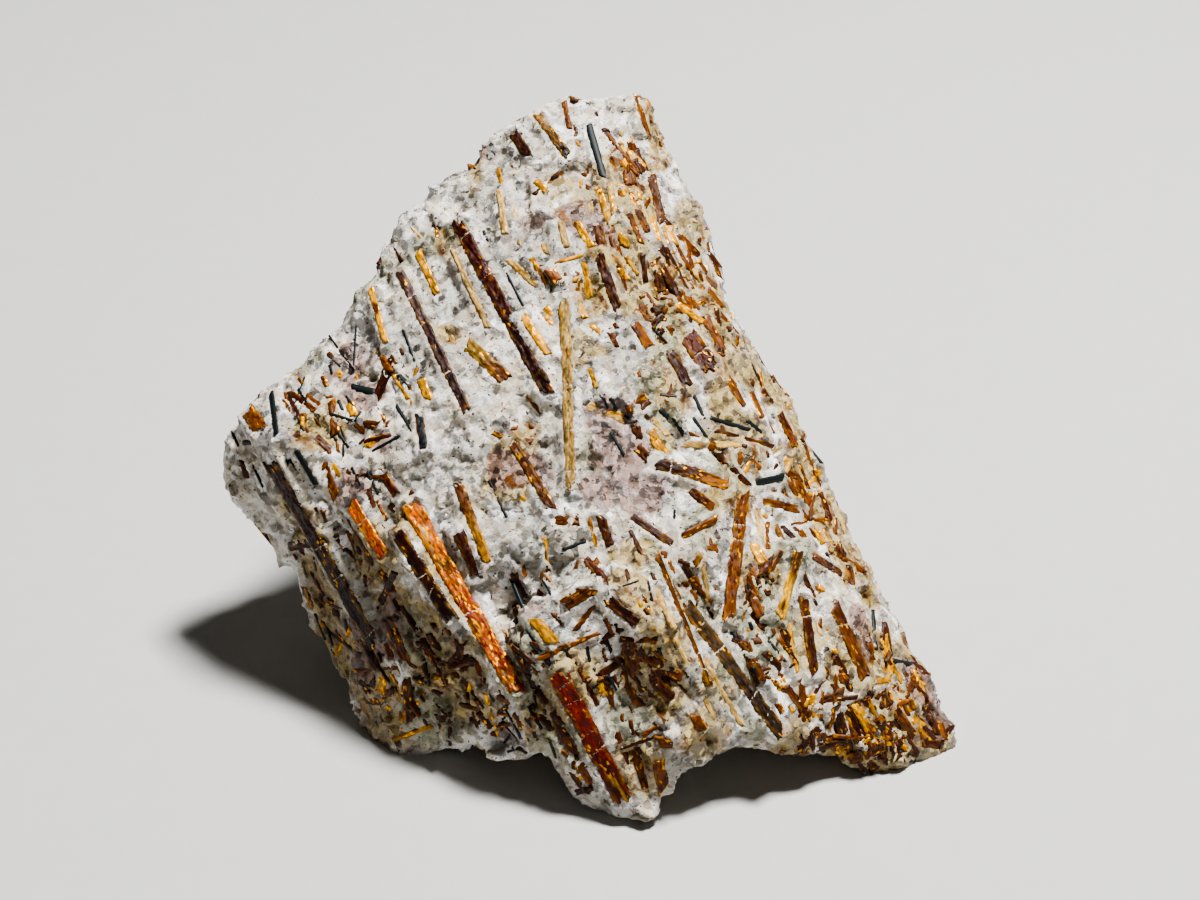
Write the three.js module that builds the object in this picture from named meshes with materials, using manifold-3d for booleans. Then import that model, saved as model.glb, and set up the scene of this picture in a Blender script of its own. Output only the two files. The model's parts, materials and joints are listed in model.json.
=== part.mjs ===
// Astrophyllite cluster: a wedge of white feldspar rock, broken on all sides, with bronze-brown
// astrophyllite blades and black-green aegirine needles grown into it. It stands on four small feet.
// Millimetres, +Z up, the best face towards -Y, origin under the middle of the specimen's box.
import * as THREE from "three";
import { ConvexHull } from "three/addons/math/ConvexHull.js";
import { mergeVertices } from "three/addons/utils/BufferGeometryUtils.js";
import Module from "manifold-3d";

const wasm = await Module();
wasm.setup();

// Driving dimensions
const GRID = 2; // spacing of the lattice that the rock's surface is taken from
const LOBE_BLEND = 1.3; // how softly one lobe of the rock runs into the next
const GROWTH = 0.3; // how far the rock's surface lies outside the lobes' corners
const FACET = 6.5; // width of the broken facets
const FACET_TILT = 0.95; // how far a facet stands out at its edge
const GRAIN = 3.2; // size of the lumps on the facets
const GRAIN_HEIGHT = 0.55;
const SEAT_GAP = 0.3; // clearance between a crystal and the rock that holds it
const PROUD = 0.22; // how far a crystal stands out of the rock
const BITE = 0.7; // how deep the shallowest part of a crystal sits in the rock
const BEVEL = 0.1; // worn edge of a crystal

// The specimen is laid out as it looks to an eye in front of it. u runs to the right and v upwards
// on a plane through its middle that faces the eye, and w is the distance from that plane to the eye.
const EYE_DISTANCE = 186.7;
const EYE_ELEVATION = THREE.MathUtils.degToRad(35);
const MIDDLE_HEIGHT = 19.9; // of that plane's centre above the surface that the specimen stands on
const RIGHT = new THREE.Vector3(1, 0, 0);
const UP = new THREE.Vector3(0, Math.sin(EYE_ELEVATION), Math.cos(EYE_ELEVATION));
const TO_EYE = new THREE.Vector3(0, -Math.cos(EYE_ELEVATION), Math.sin(EYE_ELEVATION));
const MIDDLE = new THREE.Vector3(0, 0, MIDDLE_HEIGHT);

function seen([u, v, w]) {
  const nearer = 1 - w / EYE_DISTANCE;
  return MIDDLE.clone()
    .addScaledVector(TO_EYE, w)
    .addScaledVector(RIGHT, u * nearer)
    .addScaledVector(UP, v * nearer);
}
const at = ([x, y, z]) => new THREE.Vector3(x, y, z);

// The rock: convex lobes that run together. Corners that show are given as seen, hidden ones by place.
const LOBES = {
  body: {
    seen: [
      [2.8, 29.9, -5], [0.6, 30, -5], [-4.8, 27.3, -4], [-10.6, 24.4, -4], [-13.9, 21.2, -4],
      [-17.4, 16.4, -3.5], [-22.6, 8.8, -3], [-25, 5.6, -3],
      [4.0, 27.2, -6], [7.4, 20.4, -6], [9.8, 12.8, -5.5], [14, 5.6, -5], [19.8, -5.4, -4],
      [-1.5, 24, -1.5], [-12, 10, 2], [0, 10, 3.6], [0, 1, 6], [4.5, 14, 0.5], [11, 1, 3],
      [-20, -4, 3.6], [-13, -10, 6.8], [4, -10, 8], [12, -12, 6], [-24, -12, -5], [-17.5, -14, 2],
    ],
    at: [
      [-24, 8, 16], [-14, 14, 25], [-4, 19, 36], [4, 20, 36], [8, 16.5, 24], [12, 12, 10],
      [14, 9, -2], [4, 13, -2], [-8, 11, -2], [-15, 8, 3.5], [19, 3, 3.5], [-9, -12, 4], [10, -13, 4],
    ],
  },
  leftShoulder: {
    seen: [
      [-25, 5.8, -3], [-27.6, 5.2, -3], [-30.2, 1.5, -3.5], [-30.6, -1.2, -4], [-29.8, -3.2, -5.5],
      [-27.5, 1.6, 0.6], [-23.5, -1.8, 2], [-19, -5, 4], [-24.4, -10.8, -7], [-20, 4, 1],
    ],
    at: [[-24, 9, 15], [-16, 9, 10], [-14, 0, 14]],
  },
  leftFoot: {
    seen: [
      [-24.8, -11, -6], [-22.3, -16.6, -5], [-18.8, -21.6, -3], [-18.2, -24.5, -1.5],
      [-15.8, -24.5, -0.8], [-12.8, -23, -0.6], [-10.4, -21.7, 1.6], [-6.4, -22.6, 3.4],
      [-14, -9.5, 6.4], [-10, -15, 7.4], [-6.4, -20.4, 7.4],
    ],
    at: [[-17, -2, -1.6], [-10, -4, 3], [-6, -8, 10]],
  },
  buttress: {
    seen: [
      [-7, -12.5, 9.6], [-2.5, -10, 11], [3.6, -10, 11.4], [7.2, -15, 10.6], [8.6, -19.6, 9],
      [-6.2, -20.6, 8.6], [-4.2, -25.8, 6.6], [-1.4, -28.2, 6.6], [0.4, -30, 6.4],
      [2.6, -30.2, 6.4], [5.0, -28.6, 7.4], [5.8, -26.4, 8], [8.9, -24.4, 8.2], [-7.4, -23.6, 5],
    ],
    at: [[0, -14, -1.6], [-4, -8, 8], [8, -8, 8]],
  },
  rightFoot: {
    seen: [
      [8.8, -24.2, 7.8], [11.2, -22.2, 7.4], [14.8, -22.2, 6], [18.4, -22.6, 5], [20.6, -24.8, 3], [24, -25.9, 0.6],
      [27.6, -26.0, -0.2], [29.4, -24.6, -0.6], [27.6, -21.4, -1.5], [25.4, -17.2, -3],
      [23, -13.2, -3.6], [19.8, -5.6, -4], [9.5, -13.5, 7.4], [14, -6, 4.4], [19.5, -14, 3.4],
    ],
    at: [[24, -6, -2], [16, -4, 3], [8, -10, 6]],
  },
};

// Bites out of it: the split beside the ridge, the hollow under the front lump and the gap between the feet.
const BITES = {
  waist: {
    seen: [
      [8.1, 18.6, -24], [13.9, 5.2, -24], [9.5, 11.4, -24], [18, 14, -24],
      [8.1, 18.6, 12], [13.9, 5.2, 12], [9.5, 11.4, 12], [18, 14, 12],
    ],
    at: [],
  },
  split: {
    seen: [
      [-9.9, -8.4, 12], [-8.3, -8.4, 12], [-9.1, -9, 6.8],
      [-5.6, -23.4, 12], [-3.8, -23.4, 12], [-4.8, -23.4, 6.6],
    ],
    at: [],
  },
  hollow: {
    seen: [
      [-0.8, -16.6, 14], [3.4, -16.8, 14], [6.2, -21.4, 14], [2, -22.4, 14],
      [0.2, -17.2, 7.6], [3.2, -18.6, 7], [4.4, -21, 7], [2, -20.6, 6.8],
    ],
    at: [],
  },
  gap: {
    seen: [],
    at: [
      [6.6, -24, -3], [22.5, -24, -3], [8.5, -24, 2.4], [18.5, -24, 2.2],
      [5, -4, -3], [18, -4, -3], [7, -6, 3], [15, -6, 2.6],
    ],
  },
  underLeft: {
    seen: [],
    at: [
      [-13.5, -22, -3], [-2.8, -22, -3], [-12, -22, 3], [-4, -22, 3.8],
      [-9, 2, -3], [-2, 2, -3], [-7, 0, 2.4], [-3, 0, 2.4],
    ],
  },
};

// The crystals: where each starts and ends as seen, its width and its colour. A view other than the
// front gives u to the right and v upwards as seen from that side.
const BLADES = [
  { from: [-5.0, 26.7], to: [-2.5, 23.3], width: 0.75, tone: "bronze" },
  { from: [-6.9, 25.4], to: [-5.8, 23.5], width: 0.8, tone: "dark" },
  { from: [-8.0, 20.8], to: [-7.6, 17.2], width: 0.6, tone: "pale" },
  { from: [-11.2, 18.2], to: [-4.0, 4.3], width: 1.15, tone: "dark" },
  { from: [-11.8, 16.1], to: [-9.0, 9.8], width: 0.5, tone: "pale" },
  { from: [-14.5, 15.9], to: [-13.0, 12.4], width: 0.65, tone: "gold" },
  { from: [-15.9, 14.2], to: [-10.6, 3.0], width: 0.75, tone: "dark" },
  { from: [-18.3, 13.0], to: [-17.1, 8.6], width: 0.55, tone: "gold" },
  { from: [-0.1, 15.7], to: [1.4, 11.2], width: 0.85, tone: "dark" },
  { from: [-2.7, 12.0], to: [-2.3, -3.2], width: 0.85, tone: "pale" },
  { from: [-6.1, 10.7], to: [-4.2, 7.6], width: 0.65, tone: "gold" },
  { from: [-10.5, 8.5], to: [-7.4, 5.4], width: 1.2, tone: "bronze" },
  { from: [2.7, 10.2], to: [3.9, 8.2], width: 0.9, tone: "bronze" },
  { from: [5.7, 7.9], to: [6.9, 5.1], width: 1.0, tone: "dark" },
  { from: [7.1, 9.3], to: [9.0, 6.2], width: 1.5, tone: "dark" },
  { from: [10.2, 5.8], to: [11.5, 3.4], width: 0.9, tone: "bronze" },
  { from: [12.1, 4.6], to: [12.9, 2.6], width: 0.8, tone: "bronze" },
  { from: [14.2, 3.0], to: [15.5, 0.2], width: 1.0, tone: "dark" },
  { from: [-14.2, 5.6], to: [-13.7, 3.9], width: 0.7, tone: "gold" },
  { from: [-14.4, 3.0], to: [-14.1, 0.1], width: 0.65, tone: "dark" },
  { from: [-28.1, 3.2], to: [-27.1, 1.4], width: 1.2, tone: "bronze" },
  { from: [-26.6, -0.6], to: [-18.2, -15.6], width: 1.8, tone: "dark" },
  { from: [-16.9, -13.2], to: [-15.4, -17.1], width: 1.2, tone: "dark" },
  { from: [-19.9, -4.1], to: [-17.3, -8.6], width: 1.1, tone: "bronze" },
  { from: [-15.9, -6.6], to: [-11.7, -13.6], width: 1.0, tone: "dark" },
  { from: [-15.1, -4.4], to: [-6.5, -19.7], width: 1.35, tone: "gold" },
  { from: [-11.3, -6.5], to: [-9.6, -10.6], width: 0.95, tone: "dark" },
  { from: [-11.4, -2.4], to: [-9.0, -9.1], width: 0.85, tone: "bronze" },
  { from: [-7.0, 0.6], to: [-3.9, -4.7], width: 0.75, tone: "bronze" },
  { from: [4.2, -1.0], to: [10.2, -2.9], width: 1.0, tone: "bronze" },
  { from: [11.3, -3.4], to: [9.9, -13.7], width: 1.1, tone: "bronze" },
  { from: [12.9, -4.0], to: [15.9, -4.8], width: 0.7, tone: "bronze" },
  { from: [15.8, -8.1], to: [14.2, -13.6], width: 0.9, tone: "gold" },
  { from: [17.0, -8.4], to: [19.3, -9.9], width: 0.7, tone: "dark" },
  { from: [16.2, -11.9], to: [17.0, -18.0], width: 0.9, tone: "dark" },
  { from: [18.6, -12.2], to: [21.1, -18.3], width: 1.15, tone: "bronze" },
  { from: [2.5, -5.3], to: [5.8, -7.6], width: 0.65, tone: "dark" },
  { from: [4.0, -8.6], to: [8.2, -19.0], width: 0.65, tone: "bronze" },
  { from: [6.7, -12.2], to: [14.3, -22.8], width: 1.15, tone: "dark" },
  { from: [-3.1, -12.4], to: [-0.4, -11.1], width: 0.95, tone: "bronze" },
  { from: [0.7, -11.9], to: [3.1, -14.0], width: 0.95, tone: "dark" },
  { from: [-3.6, -17.4], to: [1.9, -28.2], width: 1.6, tone: "bronze" },
  { from: [4.7, -24.6], to: [5.0, -27.2], width: 0.9, tone: "bronze" },
  { from: [-6, 14], to: [-1, 2], width: 1.4, view: "back", tone: "bronze" },
  { from: [3, 12], to: [9, -2], width: 1.1, view: "back", tone: "dark" },
  { from: [-12, 0], to: [-7, -11], width: 1.3, view: "back", tone: "gold" },
  { from: [16, 2], to: [12, -7], width: 1.0, view: "back", tone: "bronze" },
];
const NEEDLES = [
  { from: [-0.9, 25.9], to: [0.3, 21.6], width: 0.6, tone: "black" },
  { from: [-19.8, 5.0], to: [-18.1, 4.6], width: 0.6, tone: "black" },
  { from: [-26.2, 4.4], to: [-25.8, 1.2], width: 0.45, tone: "black" },
  { from: [-24.2, -0.1], to: [-22.7, -2.7], width: 0.45, tone: "black" },
  { from: [12.4, -2.6], to: [14.5, -2.2], width: 0.55, tone: "black" },
  { from: [10, 9], to: [12.5, 6], width: 0.6, view: "back", tone: "black" },
];

// Repeatable randomness
function hash(i, j, k, seed) {
  let h = Math.imul(i, 374761393) ^ Math.imul(j, 668265263) ^ Math.imul(k, 2147483647) ^ Math.imul(seed, 97);
  h = Math.imul(h ^ (h >>> 15), 2246822519);
  h = Math.imul(h ^ (h >>> 13), 3266489917);
  return ((h ^ (h >>> 16)) >>> 0) / 4294967296;
}

// Smooth lumps between -1 and 1, one to each cell of the given size
function lumps(p, size, seed) {
  const cell = [p.x, p.y, p.z].map((c) => Math.floor(c / size));
  const part = [p.x, p.y, p.z].map((c, n) => c / size - cell[n]);
  const soft = part.map((t) => t * t * (3 - 2 * t));
  let sum = 0;
  for (let corner = 0; corner < 8; corner++) {
    const step = [corner & 1, (corner >> 1) & 1, corner >> 2];
    const weight = step.reduce((product, s, n) => product * (s ? soft[n] : 1 - soft[n]), 1);
    sum += weight * hash(cell[0] + step[0], cell[1] + step[1], cell[2] + step[2], seed);
  }
  return 2 * sum - 1;
}

// Flat facets with random tilts: how far the facet that holds p stands out there, about -1 to 1
function facets(p, size, seed) {
  const cell = [p.x, p.y, p.z].map((c) => Math.floor(c / size));
  let nearest = Infinity;
  let value = 0;
  for (let n = 0; n < 27; n++) {
    const [i, j, k] = [n % 3, Math.floor(n / 3) % 3, Math.floor(n / 9)].map((s, axis) => cell[axis] + s - 1);
    const dx = p.x / size - i - hash(i, j, k, seed);
    const dy = p.y / size - j - hash(i, j, k, seed + 1);
    const dz = p.z / size - k - hash(i, j, k, seed + 2);
    const distance = dx * dx + dy * dy + dz * dz;
    if (distance >= nearest) continue;
    nearest = distance;
    const tilt = [3, 4, 5].map((s) => 2 * hash(i, j, k, seed + s) - 1);
    value = dx * tilt[0] + dy * tilt[1] + dz * tilt[2];
  }
  return value;
}

// Signed distance to a convex hull of corners, from its planes
function hullField({ seen: shown, at: placed }) {
  const corners = [...shown.map(seen), ...placed.map(at)];
  const planes = new ConvexHull().setFromPoints(corners).faces;
  return (p) => planes.reduce((most, f) => Math.max(most, f.normal.dot(p) - f.constant), -Infinity);
}

function softMin(a, b, width) {
  const share = Math.max(width - Math.abs(a - b), 0) / width;
  return Math.min(a, b) - (share * share * width) / 4;
}

const lobeFields = Object.values(LOBES).map(hullField);
const biteFields = Object.values(BITES).map(hullField);

// Negative inside the rock
function rockField(p) {
  const whole = lobeFields.reduce((d, lobe) => softMin(d, lobe(p), LOBE_BLEND), Infinity);
  const bitten = biteFields.reduce((d, bite) => Math.max(d, -bite(p)), whole);
  const rough = FACET_TILT * facets(p, FACET, 11) + GRAIN_HEIGHT * lumps(p, GRAIN, 7);
  return bitten + rough - GROWTH;
}

// The rock's surface as one closed mesh: a vertex in each lattice cell that the surface crosses,
// and a quad across each lattice edge that it crosses
function rockGeometry() {
  const low = [-36, -30, -7];
  const count = [36, 29, 28];
  const stride = [1, count[0], count[0] * count[1]];
  const index = (i, j, k) => i + j * stride[1] + k * stride[2];
  const values = new Float32Array(count[0] * count[1] * count[2]);
  const p = new THREE.Vector3();
  for (let k = 0; k < count[2]; k++)
    for (let j = 0; j < count[1]; j++)
      for (let i = 0; i < count[0]; i++) {
        p.set(low[0] + i * GRID, low[1] + j * GRID, low[2] + k * GRID);
        values[index(i, j, k)] = rockField(p);
      }
  fillPinches(values, stride);

  const vertexOf = new Map();
  const positions = [];
  function vertex(i, j, k) {
    const key = index(i, j, k);
    if (vertexOf.has(key)) return vertexOf.get(key);
    const sum = [0, 0, 0];
    let crossings = 0;
    for (let corner = 0; corner < 8; corner++)
      for (let axis = 0; axis < 3; axis++) {
        if ((corner >> axis) & 1) continue;
        const step = [corner & 1, (corner >> 1) & 1, corner >> 2];
        const a = values[index(i + step[0], j + step[1], k + step[2])];
        const b = values[index(i + step[0], j + step[1], k + step[2]) + stride[axis]];
        if (a < 0 === b < 0) continue;
        step[axis] += a / (a - b);
        step.forEach((s, n) => (sum[n] += s));
        crossings++;
      }
    const cell = [i, j, k];
    sum.forEach((s, n) => positions.push(low[n] + (cell[n] + s / crossings) * GRID));
    vertexOf.set(key, positions.length / 3 - 1);
    return positions.length / 3 - 1;
  }

  const triangles = [];
  for (let k = 1; k < count[2] - 1; k++)
    for (let j = 1; j < count[1] - 1; j++)
      for (let i = 1; i < count[0] - 1; i++)
        for (let axis = 0; axis < 3; axis++) {
          const inside = values[index(i, j, k)] < 0;
          if (inside === values[index(i, j, k) + stride[axis]] < 0) continue;
          const b = (axis + 1) % 3;
          const c = (axis + 2) % 3;
          const quad = [[0, 0], [1, 0], [1, 1], [0, 1]].map(([stepB, stepC]) => {
            const cell = [i, j, k];
            cell[b] -= stepB;
            cell[c] -= stepC;
            return vertex(...cell);
          });
          if (!inside) quad.reverse();
          triangles.push(quad[0], quad[1], quad[2], quad[0], quad[2], quad[3]);
        }
  return new THREE.BufferGeometry()
    .setAttribute("position", new THREE.Float32BufferAttribute(positions, 3))
    .setIndex(triangles);
}

// Two rock corners that touch only across a lattice square would pinch the surface: fill the square
function fillPinches(values, stride) {
  const last = values.length - stride[1] - stride[2] - 1;
  for (let again = true; again; ) {
    again = false;
    for (let n = 0; n < last; n++)
      for (let axis = 0; axis < 3; axis++) {
        const a = stride[axis];
        const b = stride[(axis + 1) % 3];
        const square = [n, n + a, n + a + b, n + b];
        const inside = square.map((s) => values[s] < 0);
        if (inside[0] !== inside[2] || inside[1] !== inside[3] || inside[0] === inside[1]) continue;
        values[square[inside[0] ? 1 : 0]] = -0.05;
        again = true;
      }
  }
}

function solidOf(geometry) {
  const bare = new THREE.BufferGeometry()
    .setAttribute("position", geometry.getAttribute("position"))
    .setIndex(geometry.index);
  const merged = mergeVertices(bare, 1e-4);
  const triVerts = new Uint32Array(merged.index.array);
  return new wasm.Manifold(
    new wasm.Mesh({ numProp: 3, vertProperties: merged.attributes.position.array, triVerts }),
  );
}

function geometryOf(solid) {
  const { vertProperties, triVerts } = solid.getMesh();
  return new THREE.BufferGeometry()
    .setAttribute("position", new THREE.BufferAttribute(vertProperties, 3))
    .setIndex(new THREE.BufferAttribute(triVerts, 1));
}

// Everything below the surface that the specimen stands on is ground away, which leaves the feet flat
function grindFeet(solid) {
  const slab = new THREE.BoxGeometry(120, 120, 20).translate(0, 0, -10);
  return solid.subtract(solidOf(slab));
}

// Points on the rock as seen from a side
const probe = new THREE.Raycaster();
const SIDES = {
  back: { right: new THREE.Vector3(-1, 0, 0), up: new THREE.Vector3(0, 0, 1), out: new THREE.Vector3(0, 1, 0) },
};

function onRock(rock, [u, v], view) {
  if (view) {
    const { right, up, out } = SIDES[view];
    const start = MIDDLE.clone().addScaledVector(right, u).addScaledVector(up, v).addScaledVector(out, 90);
    probe.set(start, out.clone().negate());
  } else {
    const start = MIDDLE.clone().addScaledVector(TO_EYE, EYE_DISTANCE);
    probe.set(start, seen([u, v, 0]).sub(start).normalize());
  }
  const hit = probe.intersectObject(rock)[0];
  if (!hit) throw new Error(`no rock at ${u}, ${v} ${view ?? "front"}`);
  return hit.point;
}

// A crystal's own frame: X along it, Y across it, Z out of the rock, and the levels of its two faces
function seat(rock, { from, to, width, view }) {
  const STEPS = 8;
  const STATIONS = [0.3, 0.5, 0.7]; // where the slope across the crystal is taken
  const REACH = width / 2 + 0.3;
  const between = (t, aside) => {
    const run = [to[0] - from[0], to[1] - from[1]];
    const reach = Math.hypot(...run);
    return [
      from[0] + run[0] * t - (run[1] / reach) * aside,
      from[1] + run[1] * t + (run[0] / reach) * aside,
    ];
  };
  const start = onRock(rock, from, view);
  const end = onRock(rock, to, view);
  const x = end.clone().sub(start).normalize();
  const across = new THREE.Vector3();
  for (const t of STATIONS) {
    const [near, far] = [-REACH, REACH].map((aside) => onRock(rock, between(t, aside), view));
    across.add(far).sub(near);
  }
  const z = x.clone().cross(across).normalize();
  const y = z.clone().cross(x);
  const heights = [];
  for (let n = 0; n <= STEPS; n++) heights.push(onRock(rock, between(n / STEPS, 0), view).sub(start).dot(z));
  heights.sort((a, b) => a - b);
  const top = heights[Math.round(STEPS * 0.65)] + PROUD;
  const bottom = heights[0] - BITE;
  const frame = new THREE.Matrix4().makeBasis(x, y, z).setPosition(start);
  return { frame, length: start.distanceTo(end), top, bottom };
}

// A flat lath with broken, slanting ends
function lathShape(length, width, seed) {
  const half = width / 2 - BEVEL;
  const slant = (n) => (hash(seed, n, 3, 41) - 0.5) * width * 0.9;
  const pinch = (n) => half * (1 - 0.28 * hash(seed, n, 5, 43));
  return new THREE.Shape([
    new THREE.Vector2(Math.max(slant(1), 0), -pinch(1)),
    new THREE.Vector2(length * 0.3, -half),
    new THREE.Vector2(length + Math.min(slant(2), 0), -pinch(2)),
    new THREE.Vector2(length + Math.min(slant(3), 0), pinch(3)),
    new THREE.Vector2(length * 0.62, half),
    new THREE.Vector2(Math.max(slant(4), 0), pinch(4)),
  ]);
}

// A needle is a prism with six sides that ends in a low point
function needleShape(length, width) {
  const half = width / 2 - BEVEL;
  return new THREE.Shape([
    new THREE.Vector2(0, 0),
    new THREE.Vector2(half, -half),
    new THREE.Vector2(length - half, -half),
    new THREE.Vector2(length, 0),
    new THREE.Vector2(length - half, half),
    new THREE.Vector2(half, half),
  ]);
}

function crystalGeometry(shape, { frame, top, bottom }) {
  const solid = new THREE.ExtrudeGeometry(shape, {
    depth: top - bottom - BEVEL,
    bevelThickness: BEVEL,
    bevelSize: BEVEL,
    bevelSegments: 1,
  });
  // The bevels run past the depth, so the outer face lands on top and the buried one just under bottom
  return solid.translate(0, 0, bottom).applyMatrix4(frame);
}

// The pocket that a crystal grew in, open to the outside
function pocket(width, { frame, length, top, bottom }) {
  const OPEN = 4;
  const depth = top + OPEN - (bottom - BEVEL - SEAT_GAP);
  const box = new THREE.BoxGeometry(length + 2 * (BEVEL + SEAT_GAP), width + 2 * SEAT_GAP, depth);
  return solidOf(box.translate(length / 2, 0, top + OPEN - depth / 2).applyMatrix4(frame));
}

const FELDSPAR = new THREE.MeshStandardMaterial({ color: "#d6d3cf", roughness: 0.75 });
const TONES = {
  dark: new THREE.MeshStandardMaterial({ color: "#3d1b10", roughness: 0.35 }),
  bronze: new THREE.MeshStandardMaterial({ color: "#6f3614", roughness: 0.35 }),
  gold: new THREE.MeshStandardMaterial({ color: "#a8631a", roughness: 0.3 }),
  pale: new THREE.MeshStandardMaterial({ color: "#b08a50", roughness: 0.5 }),
  black: new THREE.MeshStandardMaterial({ color: "#16211e", roughness: 0.4 }),
};

function largest(solid) {
  return solid.decompose().reduce((best, piece) => (piece.volume() > best.volume() ? piece : best));
}

const cluster = new THREE.Group();
const ground = grindFeet(largest(solidOf(rockGeometry())));
const bareRock = new THREE.Mesh(geometryOf(ground));

let matrix = ground;
function addCrystals(rows, kind, shapeOf) {
  rows.forEach((row, n) => {
    const seated = seat(bareRock, row);
    const geometry = crystalGeometry(shapeOf(seated.length, row.width, n), seated);
    const mesh = new THREE.Mesh(geometry, TONES[row.tone]);
    mesh.name = `${kind}_${String(n + 1).padStart(2, "0")}`;
    cluster.add(mesh);
    matrix = matrix.subtract(pocket(row.width, seated));
  });
}
addCrystals(BLADES, "astrophyllite", lathShape);
addCrystals(NEEDLES, "aegirine", needleShape);

const rock = new THREE.Mesh(geometryOf(largest(matrix)), FELDSPAR);
rock.name = "matrix";
cluster.add(rock);

// The origin goes under the middle of the whole specimen's box
const box = new THREE.Box3().setFromObject(cluster);
const centre = box.getCenter(new THREE.Vector3());
cluster.position.set(-centre.x, -centre.y, -box.min.z);

const specimen = new THREE.Group();
specimen.add(cluster);

export default specimen;
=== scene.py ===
"""The looks of an astrophyllite cluster: a broken wedge of sugary white feldspar, full of bronze
astrophyllite laths and black-green aegirine needles, on a pale floor.

Everything is in metres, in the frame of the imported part. MM turns a size in millimetres to metres.
"""

import json
import math
from dataclasses import dataclass

import bpy
import numpy as np
from bpy.props import FloatProperty, FloatVectorProperty, IntProperty, PointerProperty
from mathutils import Euler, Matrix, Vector
from mathutils.bvhtree import BVHTree
from mathutils.kdtree import KDTree


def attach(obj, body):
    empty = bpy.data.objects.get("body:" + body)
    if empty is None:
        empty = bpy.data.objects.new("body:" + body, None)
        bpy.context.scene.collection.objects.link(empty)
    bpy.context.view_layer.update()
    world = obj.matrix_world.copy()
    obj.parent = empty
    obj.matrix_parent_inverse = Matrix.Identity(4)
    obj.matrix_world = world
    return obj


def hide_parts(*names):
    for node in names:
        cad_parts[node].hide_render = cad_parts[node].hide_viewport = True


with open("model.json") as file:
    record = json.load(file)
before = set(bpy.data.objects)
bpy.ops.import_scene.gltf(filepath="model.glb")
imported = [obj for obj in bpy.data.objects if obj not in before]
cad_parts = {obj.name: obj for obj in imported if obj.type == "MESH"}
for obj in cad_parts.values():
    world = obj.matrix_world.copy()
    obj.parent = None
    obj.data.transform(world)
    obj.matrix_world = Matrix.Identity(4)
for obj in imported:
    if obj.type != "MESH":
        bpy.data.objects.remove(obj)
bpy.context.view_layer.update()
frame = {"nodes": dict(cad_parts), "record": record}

bl_info = {
    "name": "Astrophyllite cluster",
    "version": (1, 0, 0),
    "blender": (4, 5, 0),
    "location": "View3D > Sidebar > Specimen",
    "description": "Dresses the packed solids as a rough astrophyllite specimen",
    "category": "Object",
}

MM = 0.001

# The eye in front of the specimen, and the plane through its middle that faces the eye. On it, u runs
# to the right and v upwards, in millimetres; w is the distance from it towards the eye.
EYE_DISTANCE = 186.7
EYE_ELEVATION = math.radians(35)
SENSOR = 36.0
LENS = 70.0  # millimetres, for a 36 mm sensor: the plane is seen 96 mm wide
LAYOUT_SHIFT = np.array([1.101, 0.546, 0.0])
MIDDLE = np.array([0.0, 0.0, 19.9]) + LAYOUT_SHIFT
RIGHT = np.array([1.0, 0.0, 0.0])
UP = np.array([0.0, math.sin(EYE_ELEVATION), math.cos(EYE_ELEVATION)])
TO_EYE = np.array([0.0, -math.cos(EYE_ELEVATION), math.sin(EYE_ELEVATION)])
EYE = (MIDDLE + TO_EYE * EYE_DISTANCE) * MM

# Most laths grew side by side, about 28 degrees from upright
GROWTH_WAY = (0.47, -0.88)

# How finely the directions, planes and corners of a solid's faces are told apart, the last in millimetres
DIRECTION_STEPS = 40
PLANE_STEP = 0.03 * MM
CORNER_STEP = 0.001
# A dressed lath reaches this far past the edge of its solid's cap, and a ray this far finds what lies on it
CAP_EDGE = 0.1 * MM
CAP_CLEARANCE = 2.5 * MM

# The rock: its finest lumps, how far it is set back so that its relief stays in the solid's outline, how
# near a lath it gets calmer, how high above the floor its feet are kept flat, and how far it may
# rise round a lath
FINE_GRAIN = 0.5 * MM
FINE_RELIEF = 0.05 * MM
SET_BACK = 0.12 * MM
CALM_REACH = 1.4 * MM
FOOT_HEIGHT = 0.35 * MM
MOST_RISE = 0.35 * MM

# Crystals: the length of a strip's waves, of a strip and of an edge's bays, how far edges and cracks
# drop, and how deep a large and a small crystal go into the rock
STRIP_WAVE = 2.3 * MM
STRIP_LENGTH = 1.8 * MM
EDGE_KNOTS = 0.8 * MM
EDGE_DROP = 0.06 * MM
CRACK_DEPTH = 0.07 * MM
LARGE_DEPTH = 0.75 * MM
SMALL_DEPTH = 0.45 * MM
# Vertices lie this much further apart on small crystals, and large ones are this much wider than their caps
COARSER = 1.4
WIDER = 1.1

# Seeds: of crystals placed one by one, of crowds, of those out of sight, what the solid needles add to
# theirs, and of the placing itself
SEEN_SEED, CROWD_SEED, HIDDEN_SEED = 1000, 2000, 3000
NEEDLE_SEED = 500
PLACING_SEED = 1957

# The stage: places from the specimen's middle, and sizes in metres
KEY_PLACE, KEY_SIZE = (0.125, 0.05, 0.43), 0.08
FILL_PLACE, FILL_SIZE = (0.4, -0.45, 0.2), 0.4
FLOOR_REACH = 2.0
NEAREST_SEEN = 0.01
SKY_COLOUR = (1.0, 0.98, 0.95, 1.0)

# Tones of the crystals: the record's slot for each
SLOTS = {
    "dark": "astrophyllite_dark",
    "bronze": "astrophyllite_bronze",
    "gold": "astrophyllite_gold",
    "pale": "astrophyllite_pale",
    "black": "aegirine_black",
}
DARK, BRONZE, GOLD, PALE, BLACK = SLOTS

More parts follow.
